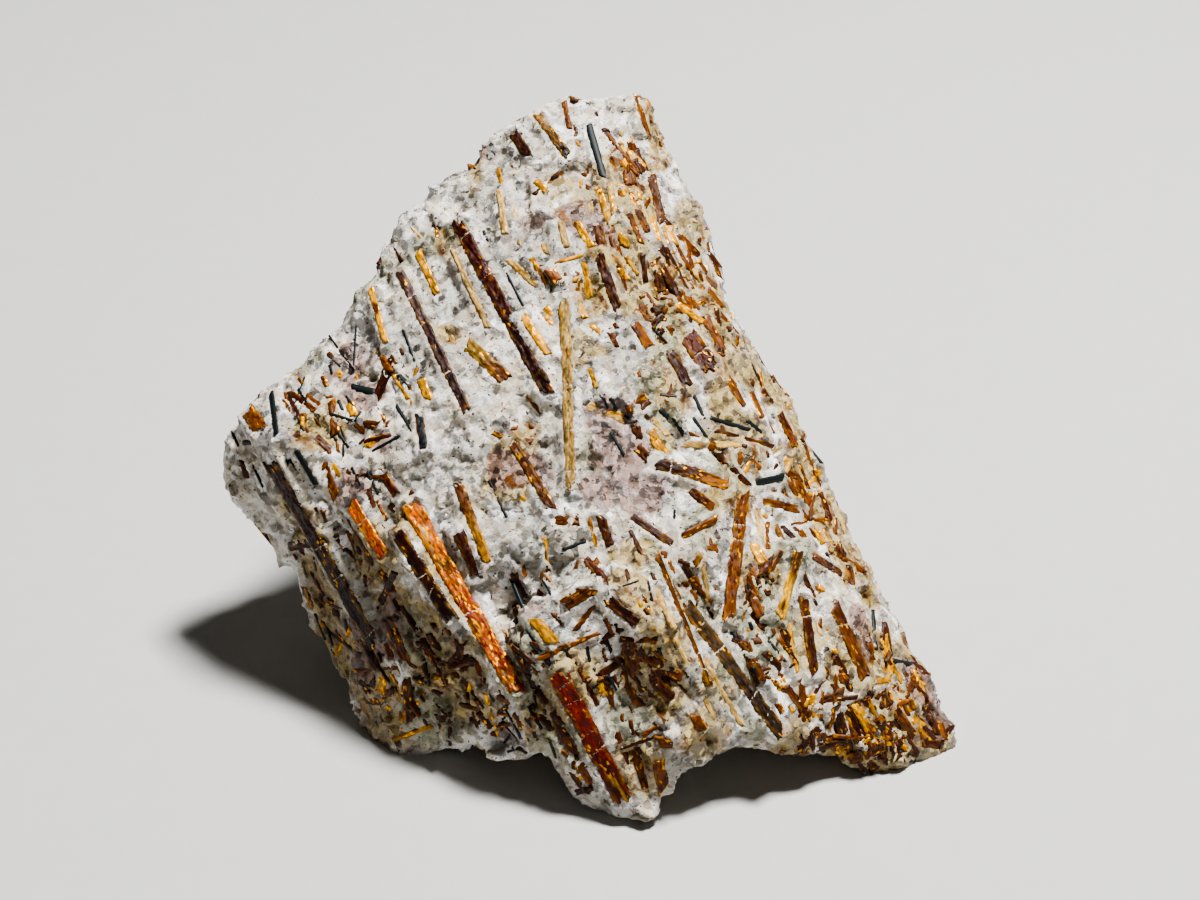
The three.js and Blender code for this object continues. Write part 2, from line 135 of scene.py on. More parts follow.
# Crystals too small for a solid, as they are seen: start u, v, end u, v, width, tone
SEEN_CRYSTALS = (
    # top of the wedge
    (1.4, 28.8, 2.6, 23.8, 0.4, BRONZE), (2.9, 28.4, 3.8, 25.3, 0.9, BRONZE),
    (-5.4, 20.4, -2.9, 22.4, 0.5, DARK), (-5.2, 21.6, -4.2, 20.6, 0.7, GOLD),
    (-2.9, 28.0, -2.4, 25.6, 0.5, BRONZE), (-7.6, 25.0, -6.6, 23.9, 0.6, GOLD),
    (-3.2, 18.4, -2.6, 16.1, 0.7, PALE), (-2.0, 18.4, -0.6, 16.1, 0.8, GOLD),
    (-0.2, 18.0, 0.3, 15.8, 0.9, BRONZE), (0.8, 17.9, 1.4, 15.7, 0.8, BRONZE),
    (-1.4, 15.9, -0.8, 11.9, 0.7, GOLD), (0.6, 22.6, 1.2, 19.0, 0.6, PALE),
    (2.3, 19.0, 3.4, 16.4, 0.6, BRONZE), (4.0, 18.8, 4.8, 16.6, 0.7, GOLD),
    (-8.2, 22.6, -7.6, 20.4, 0.5, GOLD), (-0.2, 21.0, 0.8, 18.3, 0.7, GOLD),
    # upper left, among the long laths
    (-4.6, 11.4, -2.7, 9.4, 1.1, GOLD), (-2.9, 12.8, -2.7, 9.9, 1.0, GOLD),
    (-7.5, 14.2, -5.4, 10.1, 0.22, BLACK), (-7.4, 15.4, -4.9, 13.0, 0.7, PALE),
    (-4.6, 16.8, -4.2, 15.6, 0.7, PALE), (-0.8, 6.6, -0.3, 5.0, 0.5, GOLD),
    (-5.8, 8.3, -4.8, 5.3, 0.8, GOLD), (-13.9, 15.4, -13.3, 13.6, 0.7, GOLD), (4.1, 1.9, 4.6, 0.6, 0.8, GOLD),
    (-11.4, 4.6, -10.5, 3.2, 0.8, BRONZE), (-17.5, 16.0, -17.0, 15.0, 0.6, BRONZE),
    (-15.3, 18.0, -14.1, 16.8, 0.35, PALE), (-16.7, 16.5, -15.8, 15.0, 0.4, DARK),
    (-16.1, 6.0, -15.2, 5.1, 0.4, BLACK), (-28.6, 0.6, -27.1, 0.6, 0.4, BLACK),
    (-23.0, 1.3, -21.4, -0.2, 0.8, BRONZE), (-21.6, -1.0, -20.9, -2.2, 0.7, GOLD),
    (-15.4, -3.4, -14.6, -4.3, 0.9, DARK), (-17.0, -4.1, -14.7, -5.6, 1.1, DARK),
    (-15.4, -7.2, -13.8, -11.0, 0.3, BRONZE), (-8.9, -2.4, -7.4, -5.5, 0.25, BLACK),
    (-6.4, -3.6, -5.9, -4.4, 0.5, GOLD), (-22.3, 6.0, -21.8, 5.1, 0.5, BRONZE),
    # middle
    (4.0, 1.4, 5.4, -0.8, 1.0, GOLD), (4.8, 3.3, 5.5, 2.6, 0.5, BLACK),
    (5.8, 2.6, 6.7, 1.2, 0.45, BLACK), (8.8, 2.6, 12.0, 1.6, 0.35, BLACK),
    (9.2, 1.6, 13.9, 0.3, 0.4, DARK), (11.8, 2.4, 13.0, 1.4, 0.35, BLACK),
    (7.1, -3.0, 9.2, -4.8, 0.9, BRONZE), (6.4, -7.0, 9.5, -5.4, 0.7, BRONZE),
    (12.6, -4.4, 13.1, -7.8, 0.6, PALE), (14.6, -5.9, 15.6, -7.0, 0.65, DARK),
    (14.2, -8.5, 15.7, -8.1, 0.3, BLACK), (-0.9, -5.2, -0.3, -7.8, 0.5, GOLD),
    (0.0, -5.2, 0.9, -7.8, 0.8, DARK), (-3.0, -8.0, -1.1, -7.3, 0.3, BLACK),
    (-3.7, -5.6, -2.3, -5.6, 1.0, BRONZE), (-2.3, -5.6, -1.5, -5.7, 0.9, DARK),
    # buttress
    (-4.4, -6.9, -4.1, -9.6, 0.5, GOLD), (-4.4, -9.5, -3.8, -10.3, 0.8, DARK),
    (-6.2, -9.3, -5.9, -10.2, 0.6, BRONZE), (-2.1, -14.6, -0.3, -12.3, 0.5, BRONZE),
    (-6.9, -12.3, -6.2, -14.9, 0.7, DARK), (-5.3, -13.4, -3.6, -15.6, 1.2, GOLD),
    (0.9, -16.6, 3.6, -19.0, 0.55, DARK), (1.6, -17.8, 3.3, -20.6, 0.95, BRONZE),
    (7.4, -21.0, 8.3, -22.6, 0.9, BRONZE), (8.0, -24.2, 9.0, -25.2, 0.9, GOLD),
    (-13.8, -14.5, -12.9, -16.2, 0.8, BRONZE),
    # right foot
    (23.4, -16.8, 25.0, -17.1, 0.4, BLACK), (21.8, -12.8, 22.1, -16.0, 0.35, BLACK),
    (3.2, -8.6, 6.0, -14.4, 0.5, PALE), (4.2, -12.4, 7.4, -18.6, 0.5, DARK),
    (6.0, -15.0, 9.2, -21.6, 0.5, PALE),
    (2.4, -6.4, 4.6, -10.6, 0.4, DARK), (8.2, -16.6, 11.4, -22.2, 0.5, PALE),
    (5.0, -9.4, 7.6, -13.8, 0.4, BRONZE),
    (20.9, -18.6, 23.4, -18.4, 0.6, GOLD), (17.6, -19.8, 19.6, -19.2, 0.6, BRONZE),
    (23.6, -20.6, 25.2, -23.0, 0.9, BRONZE), (25.8, -22.6, 27.2, -24.4, 0.9, BRONZE),
)

# Where small crystals crowd, as seen: u, v, half the spread in u and in v, how many, and the tones' shares
CROWDS = (
    (1.0, 25.0, 4.0, 3.0, 36, {BRONZE: 5, DARK: 3, GOLD: 2, PALE: 1}),
    (1.5, 15.5, 4.5, 7.0, 140, {BRONZE: 5, DARK: 2, GOLD: 4, PALE: 2}),
    (0.2, 16.0, 1.6, 2.6, 22, {BRONZE: 5, GOLD: 3}),
    (8.0, 11.0, 4.0, 6.0, 120, {BRONZE: 6, DARK: 3, GOLD: 2, PALE: 1}),
    (14.5, 1.0, 4.5, 6.0, 120, {BRONZE: 6, DARK: 3, GOLD: 2, PALE: 2}),
    (18.5, -6.0, 3.0, 6.0, 60, {BRONZE: 6, DARK: 3, GOLD: 2, PALE: 1}),
    (12.0, -8.0, 7.0, 7.5, 170, {BRONZE: 5, DARK: 3, GOLD: 2, PALE: 2, BLACK: 1}),
    (23.5, -20.0, 5.0, 5.0, 230, {BRONZE: 4, DARK: 6, GOLD: 2}),
    (15.0, -18.0, 5.0, 5.0, 80, {BRONZE: 4, DARK: 3, GOLD: 1, BLACK: 1}),
    (-1.0, -14.0, 7.0, 5.5, 110, {BRONZE: 4, DARK: 4, GOLD: 1, BLACK: 2}),
    (21.0, -24.0, 7.0, 1.6, 80, {DARK: 5, BRONZE: 4, GOLD: 2}),
    (-5.5, -19.5, 2.5, 6.0, 70, {DARK: 5, BLACK: 3, BRONZE: 3}),
    (3.0, -17.5, 3.6, 2.6, 60, {DARK: 6, BRONZE: 3, BLACK: 2}),
    (0.0, 22.0, 3.0, 2.5, 30, {GOLD: 5, BRONZE: 3, DARK: 1}),
    (1.5, -24.0, 4.5, 4.0, 60, {BRONZE: 5, DARK: 4, GOLD: 1}),
    (-19.0, -9.0, 6.0, 8.0, 150, {BRONZE: 3, DARK: 5, GOLD: 1, BLACK: 2}),
    (-13.0, -18.0, 6.0, 5.0, 120, {BRONZE: 3, DARK: 5, GOLD: 1, BLACK: 1}),
    (-19.0, 4.5, 6.5, 5.0, 70, {BRONZE: 4, DARK: 2, GOLD: 1, BLACK: 3}),
    (-25.0, 0.5, 4.5, 4.5, 34, {BRONZE: 2, DARK: 1, BLACK: 6}),
    (-9.0, 10.0, 6.0, 10.0, 50, {BRONZE: 3, DARK: 2, PALE: 4, BLACK: 3}),
    (6.0, 3.5, 6.0, 6.0, 50, {BRONZE: 4, DARK: 2, GOLD: 1, PALE: 2, BLACK: 3}),
)

# Stained and grey places on the rock, as seen: u, v, radius, kind
MAUVE, GREY, RUST, GREEN = range(4)
STAINS = (
    (2.0, -0.2, 2.6, MAUVE), (0.6, 2.6, 1.9, MAUVE), (3.2, -3.4, 2.2, MAUVE), (0.4, -3.4, 1.9, MAUVE),
    (-19.8, 7.0, 1.8, MAUVE), (-18.6, 4.4, 1.8, MAUVE), (-20.0, -3.0, 1.6, MAUVE),
    (-9.5, 20.5, 2.4, GREY), (-15.0, 9.0, 3.4, GREY), (-12.0, 13.0, 2.6, GREY), (-6.6, 13.4, 2.0, GREY),
    (-9.8, -2.0, 2.6, GREY), (-6.0, -1.0, 1.6, GREY), (-4.0, -9.0, 2.4, GREY), (-5.2, -6.6, 1.8, GREY),
    (4.0, 17.0, 2.4, GREY), (5.0, 9.5, 2.6, GREY), (1.8, 7.6, 2.0, GREY), (10.6, -7.8, 2.4, GREY),
    (15.6, -3.8, 1.8, GREY), (4.8, -3.6, 1.8, GREY), (3.0, -20.6, 3.0, GREY),
    (-1.5, 8.0, 1.6, RUST), (-0.5, 12.0, 2.0, RUST), (3.0, 20.0, 2.4, RUST), (5.5, 14.0, 2.4, RUST),
    (9.5, 8.0, 2.4, RUST), (14.5, 4.0, 2.4, RUST), (16.5, -2.0, 2.4, RUST), (19.5, -8.0, 2.2, RUST),
    (12.0, -4.0, 2.0, RUST), (13.0, -10.0, 2.2, RUST), (16.0, -15.0, 2.5, RUST), (20.0, -17.0, 3.0, RUST),
    # The rust spots on this line darken the crease left of the ridge lath, and those on the next line the
    # left face: partly a real brown stain, partly painted shade of that side
    (-15.5, -6.0, 1.6, RUST), (-13.4, -9.0, 1.6, RUST), (-11.4, -12.0, 1.6, RUST), (-9.4, -15.4, 1.6, RUST),
    (-24.0, -6.0, 3.0, RUST), (-18.0, -9.0, 3.2, RUST), (-14.0, -14.0, 2.6, RUST), (-21.0, -15.0, 3.0, RUST),
    (3.0, -25.0, 2.4, RUST), (-22.0, -12.0, 3.0, RUST), (-19.5, -17.0, 3.5, RUST), (2.2, -10.8, 1.6, RUST),
    (9.0, 12.5, 2.8, RUST), (12.0, 7.0, 2.8, RUST), (22.0, -17.0, 4.0, RUST), (26.0, -23.0, 3.5, RUST),
    (15.5, -23.6, 2.0, RUST), (19.5, -24.8, 2.2, RUST), (23.5, -25.2, 2.2, RUST), (27.0, -24.6, 2.2, RUST),
    (-4.5, -21.0, 2.4, RUST), (-6.5, -18.5, 2.2, GREEN), (-3.5, -23.5, 2.4, GREEN), (2.0, -21.5, 2.4, GREEN),
    (3.4, -17.6, 2.4, RUST), (0.2, -20.0, 2.0, GREY), (5.4, -19.4, 2.2, RUST), (1.0, 22.0, 2.2, RUST),
    (5.0, -16.0, 2.6, RUST), (-2.0, -18.0, 2.6, RUST), (8.0, -6.0, 2.0, GREEN), (13.0, -14.0, 3.0, GREEN),
    (10.0, -1.6, 2.2, GREEN), (16.0, -8.0, 2.6, GREEN), (-6.0, -16.0, 2.6, GREEN), (15.8, 1.8, 3.0, RUST),
    (18.6, -4.6, 3.0, RUST),
    (7.2, 18.0, 2.4, RUST), (21.0, -10.0, 2.8, RUST), (24.5, -20.5, 4.4, RUST), (1.6, 16.2, 2.6, RUST),
    (5.4, 0.4, 1.4, RUST), (-12.0, -19.0, 4.5, RUST), (-16.0, -12.5, 3.0, RUST), (8.4, -22.6, 2.4, RUST),
    (5.0, -8.8, 1.8, GREEN), (7.6, -13.4, 2.2, GREEN), (10.4, -18.4, 2.4, GREEN), (6.2, -11.0, 1.8, GREEN),
    (-15.2, -15.0, 2.6, GREEN), (-17.5, -20.5, 3.5, RUST), (-14.0, -21.5, 3.0, GREEN),
    (-18.5, -15.0, 2.4, GREEN),
)

# Solid laths with colours of their own: the upper end's, the lower end's and how much they glint
OWN_COLOURS = {
    "astrophyllite_01": ("#7d5418", "#150d0a", 0.1),
    "astrophyllite_04": ("#380f05", "#240a04", 0.04),
    "astrophyllite_07": ("#38231e", "#2c1a18", 0.05),
    "astrophyllite_12": ("#8a6a2a", "#5a3216", 0.15),
    "astrophyllite_15": ("#4a1a04", "#2c0d03", 0.12),
    "astrophyllite_18": ("#321004", "#5c2404", 0.15),
    "astrophyllite_20": ("#2a2a2c", "#1c1c1e", 0.0),
    "astrophyllite_22": ("#2a1006", "#1b0a04", 0.04),
    "astrophyllite_24": ("#c05208", "#a03604", 0.8),
    "astrophyllite_25": ("#2b0c06", "#1e0905", 0.04),
    "astrophyllite_26": ("#a44e04", "#7a2202", 0.85),
    "astrophyllite_28": ("#4e280c", "#966510", 0.12),
    "astrophyllite_30": ("#2e160c", "#a2600c", 0.2),
    "astrophyllite_33": ("#3a2410", "#d09a1c", 0.4),
    "astrophyllite_39": ("#3a2a17", "#281b0f", 0.05),
    "astrophyllite_42": ("#661402", "#3f0c03", 0.12),
}


def linear(hex_colour):
    """Turns an sRGB hex value to the linear colour that the shaders take."""
    channels = [int(hex_colour[i : i + 2], 16) / 255 for i in (1, 3, 5)]
    return tuple(c / 12.92 if c <= 0.04045 else ((c + 0.055) / 1.055) ** 2.4 for c in channels)


def size_setting(name, default, description):
    return FloatProperty(
        name=name, description=description, default=default, min=0, subtype="DISTANCE", unit="LENGTH"
    )


def count_setting(name, default, description):
    return IntProperty(name=name, description=description, default=default, min=0)


def strength_setting(name, default, description):
    return FloatProperty(name=name, description=description, default=default, min=0)


def colour_setting(name, hex_colour, description):
    return FloatVectorProperty(
        name=name, description=description, default=linear(hex_colour), size=3, min=0, max=1, subtype="COLOR"
    )


class RockSettings(bpy.types.PropertyGroup):
    spacing: size_setting("Mesh spacing", 0.3 * MM, "Distance between the rock's vertices")
    facet: size_setting("Broken facet", 3.2 * MM, "Width of a broken facet")
    facet_relief: size_setting("Facet relief", 0.52 * MM, "How far a tilted facet stands out")
    grain: size_setting("Grain", 1.15 * MM, "Width of a feldspar grain on the broken faces")
    grain_relief: size_setting("Grain relief", 0.25 * MM, "How far a grain stands out")
    sugar: size_setting("Sugar", 0.45 * MM, "Width of the finest sparkling grains")
    white: colour_setting("White feldspar", "#f4f1ec", "Fresh, bruised grains")
    milky: colour_setting("Milky feldspar", "#d0c6b4", "Clouded grains")
    grey: colour_setting("Grey grains", "#857f73", "Glassy grains that show the dark inside")
    mauve: colour_setting("Mauve grains", "#3f2a2b", "Granular purple-brown places")
    rust: colour_setting("Rusty stain", "#66480f", "Iron stain between the grains")
    green: colour_setting("Greenish streaks", "#7c7d66", "Places full of fine needles")


class CrystalSettings(bpy.types.PropertyGroup):
    step: size_setting("Mesh step", 0.13 * MM, "Distance between vertices on a lath")
    lamella: size_setting("Lamella", 0.3 * MM, "Width of one cleaved strip of a lath")
    lamella_drop: size_setting("Lamella drop", 0.09 * MM, "Largest step down from strip to strip")
    crack_spacing: size_setting("Crack spacing", 4.4 * MM, "Usual distance between cross cracks")
    dark: colour_setting("Dark laths", "#371505", "Thick red-brown laths")
    bronze: colour_setting("Bronze laths", "#5c2f08", "Laths thin enough to let light through")
    gold: colour_setting("Golden laths", "#b9800d", "Split laths that throw light back")
    pale: colour_setting("Pale laths", "#ad8b4e", "Weathered laths")
    black: colour_setting("Aegirine", "#0b1413", "Black-green needles")


class SmallCrystalSettings(bpy.types.PropertyGroup):
    shortest: size_setting("Shortest", 0.6 * MM, "Length of the smallest chips")
    longest: size_setting("Longest", 4.4 * MM, "Length of the largest chips")
    hidden: count_setting("Out of sight", 950, "Small crystals on the sides not seen")
    hidden_long: count_setting("Long, out of sight", 60, "Long laths on those sides")


class StageSettings(bpy.types.PropertyGroup):
    floor: colour_setting("Floor", "#b9b8b5", "Plain pale floor")
    key: strength_setting("Key light", 5.9, "Power of the overhead light in watts")
    fill: strength_setting("Fill light", 0.1, "Power of the fill from the right front in watts")
    sky: strength_setting("Sky", 0.07, "Strength of the soft light all round")


# Noise on arrays of points


def scramble(*whole):
    """Repeatable random numbers from 0 to 1, one for each set of whole numbers: large odd factors and
    shifts mix their bits."""
    steps = (374761393, 668265263, 2147483647, 1274126177)
    mixed = np.zeros(np.broadcast(*whole).shape, dtype=np.uint32)
    for number, step in zip(whole, steps):
        mixed ^= np.asarray(number).astype(np.int64).astype(np.uint32) * np.array([step], dtype=np.uint32)
    for shift, step in ((15, 2246822519), (13, 3266489917)):
        mixed = (mixed ^ (mixed >> np.uint32(shift))) * np.array([step], dtype=np.uint32)
    return (mixed ^ (mixed >> np.uint32(16))) / 2.0**32


def lumps(points, size, seed):
    """Smooth noise between -1 and 1, with lumps of the given size."""
    scaled = points / size
    cell = np.floor(scaled).astype(np.int64)
    soft = scaled - cell
    soft = soft * soft * (3 - 2 * soft)
    total = np.zeros(len(points))
    for corner in range(8):
        step = np.array([corner & 1, corner >> 1 & 1, corner >> 2])
        weight = np.prod(np.where(step, soft, 1 - soft), axis=1)
        total += weight * scramble(*(cell + step).T, seed)
    return 2 * total - 1


def facets(points, size, seed):
    """How far the tilted facet at each point stands out, about -1 to 1, and the facet's own random number."""
    scaled = points / size
    cell = np.floor(scaled).astype(np.int64)
    nearest = np.full(len(points), np.inf)
    height = np.zeros(len(points))
    number = np.zeros(len(points))
    for step in np.ndindex(3, 3, 3):
        home = cell + np.array(step) - 1
        place = np.stack([scramble(*home.T, seed + n) for n in range(3)], axis=1)
        tilt = 2 * np.stack([scramble(*home.T, seed + 3 + n) for n in range(3)], axis=1) - 1
        offset = scaled - home - place
        distance = (offset**2).sum(axis=1)
        closer = distance < nearest
        nearest[closer] = distance[closer]
        height[closer] = (offset * tilt).sum(axis=1)[closer]
        number[closer] = scramble(*home.T, seed + 6)[closer]
    return height, number


def ramp(values, low, high):
    """0 below low, 1 above high, smooth between."""
    t = np.clip((values - low) / (high - low), 0, 1)
    return t * t * (3 - 2 * t)


# Meshes


def mesh_arrays(mesh):
    """A mesh's vertices, their normals and its faces as arrays of vertex numbers."""
    count = len(mesh.vertices)
    vertices = np.empty(count * 3)
    normals = np.empty(count * 3)
    mesh.vertices.foreach_get("co", vertices)
    mesh.vertex_normals.foreach_get("vector", normals)
    faces = [tuple(face.vertices) for face in mesh.polygons]
    return vertices.reshape(-1, 3), normals.reshape(-1, 3), faces


def make_piece(name, vertices, faces, material, slot, attributes):
    """A piece of the specimen from arrays, with values kept at its vertices for the material."""
    mesh = bpy.data.meshes.new(name)
    mesh.from_pydata(np.asarray(vertices).tolist(), [], faces)
    mesh.update()
    for key, values in attributes.items():
        values = np.asarray(values, dtype=np.float32)
        if key == "lath":
            corner = np.empty(len(mesh.loops), dtype=np.int32)
            mesh.loops.foreach_get("vertex_index", corner)
            mesh.uv_layers.new(name=key).data.foreach_set("uv", values[corner].ravel())
        elif values.ndim == 1:
            mesh.attributes.new(key, "FLOAT", "POINT").data.foreach_set("value", values)
        else:
            padded = np.ones((len(values), 4), dtype=np.float32)
            padded[:, : values.shape[1]] = values
            mesh.attributes.new(key, "FLOAT_COLOR", "POINT").data.foreach_set("color", padded.ravel())
    mesh.polygons.foreach_set("use_smooth", [True] * len(mesh.polygons))
    mesh.materials.append(material)
    piece = bpy.data.objects.new(name, mesh)
    bpy.context.scene.collection.objects.link(piece)
    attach(piece, "root")
    return piece


@dataclass
class Lath:
    """A crystal's place: one end of its top face, its axes (along, across, out) and its size in metres."""

    origin: np.ndarray
    axes: np.ndarray
    length: float
    width: float
    tone: str
    seed: int
    node: str = ""

    def local(self, points):
        return (points - self.origin) @ self.axes.T

    def place(self, local):
        return self.origin + local @ self.axes


def unit(vector):
    return vector / np.linalg.norm(vector)


def solid_lath(node, tone, rock_tree):
    """Finds a lath in the solid of a crystal: its two broad ends are the only faces with six corners."""
    mesh = frame["nodes"][node].data
    planes = {}
    for face in mesh.polygons:
        offset = face.normal.dot(face.center)
        key = (*(round(c * DIRECTION_STEPS) for c in face.normal), round(offset / PLANE_STEP))
        places = [mesh.vertices[i].co for i in face.vertices]
        corners = {tuple(round(c / (CORNER_STEP * MM)) for c in place) for place in places}
        normal, seen_corners = planes.setdefault(key, (face.normal.copy(), set()))
        seen_corners |= corners
    caps = sorted(planes.values(), key=lambda plane: -len(plane[1]))[:2]
    for normal, corners in caps:
        points = np.array(sorted(corners)) * CORNER_STEP * MM
        centre = points.mean(axis=0)
        out = np.array(normal)
        start = Vector(centre + out * 0.02 * MM)
        if rock_tree.ray_cast(start, normal, CAP_CLEARANCE)[0] is None:
            break
    spread = np.linalg.svd(points - centre)[2][0]
    along = unit(spread if spread[2] < 0 else -spread)
    across = np.cross(out, along)
    reach = (points - centre) @ np.stack([along, across]).T
    low, high = reach.min(axis=0) - CAP_EDGE, reach.max(axis=0) + CAP_EDGE
    origin = centre + along * low[0] + across * (low[1] + high[1]) / 2
    length, width = high - low
    seed = int(node.split("_")[-1]) + (NEEDLE_SEED if tone == BLACK else 0)
    return Lath(origin, np.stack([along, across, out]), length, width, tone, seed, node)


def lath_box(lath, margin, top, bottom):
    """A block in a lath's own place, as vertices and faces."""
    x = (-margin, lath.length + margin)
    y = (-lath.width / 2 - margin, lath.width / 2 + margin)
    corners = np.array([[x[i], y[j], (bottom, top)[k]] for k in range(2) for j in range(2) for i in range(2)])
    faces = [(0, 2, 3, 1), (4, 5, 7, 6), (0, 1, 5, 4), (1, 3, 7, 5), (3, 2, 6, 7), (2, 0, 4, 6)]
    return lath.place(corners), faces


class Specimen:
    """What the operators share: the laths of the solids, the small ones, and how rays find the rock."""

    laths = ()
    small = ()

    @staticmethod
    def tree(vertices, faces):
        return BVHTree.FromPolygons([Vector(v) for v in vertices], faces)


def slots_of_nodes():
    tones = {slot: tone for tone, slot in SLOTS.items()}
    return {
        row["node"]: tones[row["material_slot"]]
        for row in frame["record"]["subparts"]
        if row["material_slot"] in tones
    }


def find_laths():
    vertices, _, faces = mesh_arrays(frame["nodes"]["matrix"].data)
    rock_tree = Specimen.tree(vertices, faces)
    return [solid_lath(node, tone, rock_tree) for node, tone in slots_of_nodes().items()]


def smooth_skin(laths, spacing):
    """One closed skin round the rock, with the pockets filled that its crystals sit in."""
    vertices, _, faces = mesh_arrays(frame["nodes"]["matrix"].data)
    blocks = [vertices]
    all_faces = list(faces)
    count = len(vertices)
    for lath in laths:
        corners, sides = lath_box(lath, margin=0.42 * MM, top=-0.3 * MM, bottom=-2.2 * MM)
        blocks.append(corners)
        all_faces += [tuple(i + count for i in side) for side in sides]
        count += len(corners)
    mesh = bpy.data.meshes.new("rock skin")
    mesh.from_pydata(np.concatenate(blocks).tolist(), [], all_faces)
    draft = bpy.data.objects.new("rock skin", mesh)
    bpy.context.scene.collection.objects.link(draft)
    remesh = draft.modifiers.new("one skin", "REMESH")
    remesh.mode = "VOXEL"
    remesh.voxel_size = spacing
    smooth = draft.modifiers.new("no stairs", "SMOOTH")
    smooth.factor = 0.5
    smooth.iterations = 4
    evaluated = draft.evaluated_get(bpy.context.evaluated_depsgraph_get())
    arrays = mesh_arrays(evaluated.to_mesh())
    bpy.data.objects.remove(draft)
    bpy.data.meshes.remove(mesh)
    return arrays


def nearness(points, laths, reach):
    """1 at the laths, falling to 0 at the given distance from them."""
    near = np.zeros(len(points))
    for lath in laths:
        local = lath.local(points)
        beyond = np.stack(
            [
                np.maximum(np.maximum(-local[:, 0], local[:, 0] - lath.length), 0),
                np.maximum(np.abs(local[:, 1]) - lath.width / 2, 0),
                np.maximum(np.abs(local[:, 2]) - 0.6 * MM, 0),
            ]
        )
        near = np.maximum(near, 1 - ramp(np.linalg.norm(beyond, axis=0), 0, reach))
    return near


def roughen(vertices, normals, laths, settings):
    """Breaks the smooth skin into tilted facets and grains, and keeps the feet flat."""
    broken, _ = facets(vertices, settings.facet, 21)
    grains, grain_number = facets(vertices, settings.grain, 31)
    fine = lumps(vertices, FINE_GRAIN, 41)
    quiet = 1 - 0.65 * nearness(vertices, laths, CALM_REACH)
    height = settings.facet_relief * broken + settings.grain_relief * (grains + 0.7 * (grain_number - 0.5))
    height = (height + FINE_RELIEF * fine) * quiet - SET_BACK
    foot = (vertices[:, 2] < FOOT_HEIGHT) & (normals[:, 2] < -0.6)
    height[foot] = 0
    rough = vertices + normals * height[:, None]
    rough[foot, 2] = 0
    rough[:, 2] = np.maximum(rough[:, 2], 0)
    return rough


def settle_rock(rough, laths, sink, rim, limit):
    """Sets the rock under each lath below its top and brings it up round it, with an uneven rim."""
    search = KDTree(len(rough))
    for i, place in enumerate(rough):
        search.insert(place, i)
    search.balance()
    for lath in laths:
        centre = lath.place(np.array([lath.length / 2, 0, 0]))
        found = search.find_range(centre, lath.length / 2 + lath.width + 2 * rim)
        if not found:
            continue
        index = np.array([hit[1] for hit in found])
        local = lath.local(rough[index])
        past_end = np.abs(local[:, 0] - lath.length / 2) - lath.length / 2
        beyond = np.maximum(past_end, np.abs(local[:, 1]) - lath.width / 2)
        beyond += 0.1 * MM * lumps(rough[index], 0.6 * MM, lath.seed)
        share = (1 - ramp(beyond, 0.2 * rim, rim)) * (np.abs(local[:, 2]) < 1.2 * MM)
        level = np.where(beyond < 0, -sink, -0.3 * sink) + 0.06 * MM * lumps(rough[index], 0.4 * MM, 7)
        change = np.clip((level - local[:, 2]) * share, -limit, MOST_RISE)
        rough[index] += change[:, None] * lath.axes[2]
    rough[:, 2] = np.maximum(rough[:, 2], 0)


def ray_place(tree, u, v):
    """Where the sight line through (u, v) meets the rock."""
    aim = (MIDDLE + RIGHT * u + UP * v) * MM
    place, normal, _, _ = tree.ray_cast(Vector(EYE), Vector(unit(aim - EYE)))
    return (np.array(place), np.array(normal)) if place else (None, None)


def lath_between(start, end, normal, width, tone, seed):
    along = end - start
    length = np.linalg.norm(along)
    along = along / length
    out = unit(normal - along * normal.dot(along))
    return Lath(start, np.stack([along, np.cross(out, along), out]), length, width, tone, seed)


def seen_lath(tree, row, seed, proud):
    """A lath on the rock between two seen points, or None where they miss it."""
    u0, v0, u1, v1, width, tone = row
    hits = [ray_place(tree, u0 + (u1 - u0) * t, v0 + (v1 - v0) * t) for t in (0, 0.25, 0.5, 0.75, 1)]
    if any(place is None for place, _ in hits):
        return None
    places = np.array([place for place, _ in hits])
    normal = unit(sum(normal for _, normal in hits))
    lath = lath_between(places[0], places[-1], normal, width * MM, tone, seed)
    if lath.length > 2.2 * math.hypot(u1 - u0, v1 - v0) * MM:
        return None
    level = np.median(lath.local(places)[:, 2])
    lath.origin = lath.origin + lath.axes[2] * (level + proud)
    return lath


def pick_tone(rng, shares):
    tones = list(shares)
    weights = np.array([shares[t] for t in tones], dtype=float)
    return tones[rng.choice(len(tones), p=weights / weights.sum())]


def chip_size(rng, tone, settings):
    """Length and width in millimetres of a small crystal."""
    low, high = settings.shortest / MM, settings.longest / MM
    if tone == BLACK:
        return low * 1.2 + (high * 0.7 - low) * rng.random() ** 1.6, 0.16 + 0.16 * rng.random()
    length = low + (high - low) * rng.random() ** 2.2
    return length, min(0.34 + 0.75 * rng.random() ** 1.6, length * 0.7)


def crowd_rows(rng, settings):
    """Rows like SEEN_CRYSTALS for the crowds, most of them side by side."""
    for u, v, half_u, half_v, count, shares in CROWDS:
        for _ in range(count):
            angle, reach = rng.random() * 2 * math.pi, math.sqrt(rng.random())
            at_u, at_v = u + half_u * reach * math.cos(angle), v + half_v * reach * math.sin(angle)
            tone = pick_tone(rng, shares)
            length, width = chip_size(rng, tone, settings)
            if rng.random() < 0.6:
                turn = math.atan2(GROWTH_WAY[1], GROWTH_WAY[0]) + rng.normal() * 0.2
            else:
                turn = rng.random() * 2 * math.pi
            du, dv = math.cos(turn) * length / 2, math.sin(turn) * length / 2
            yield (at_u - du, at_v - dv, at_u + du, at_v + dv, width, tone)


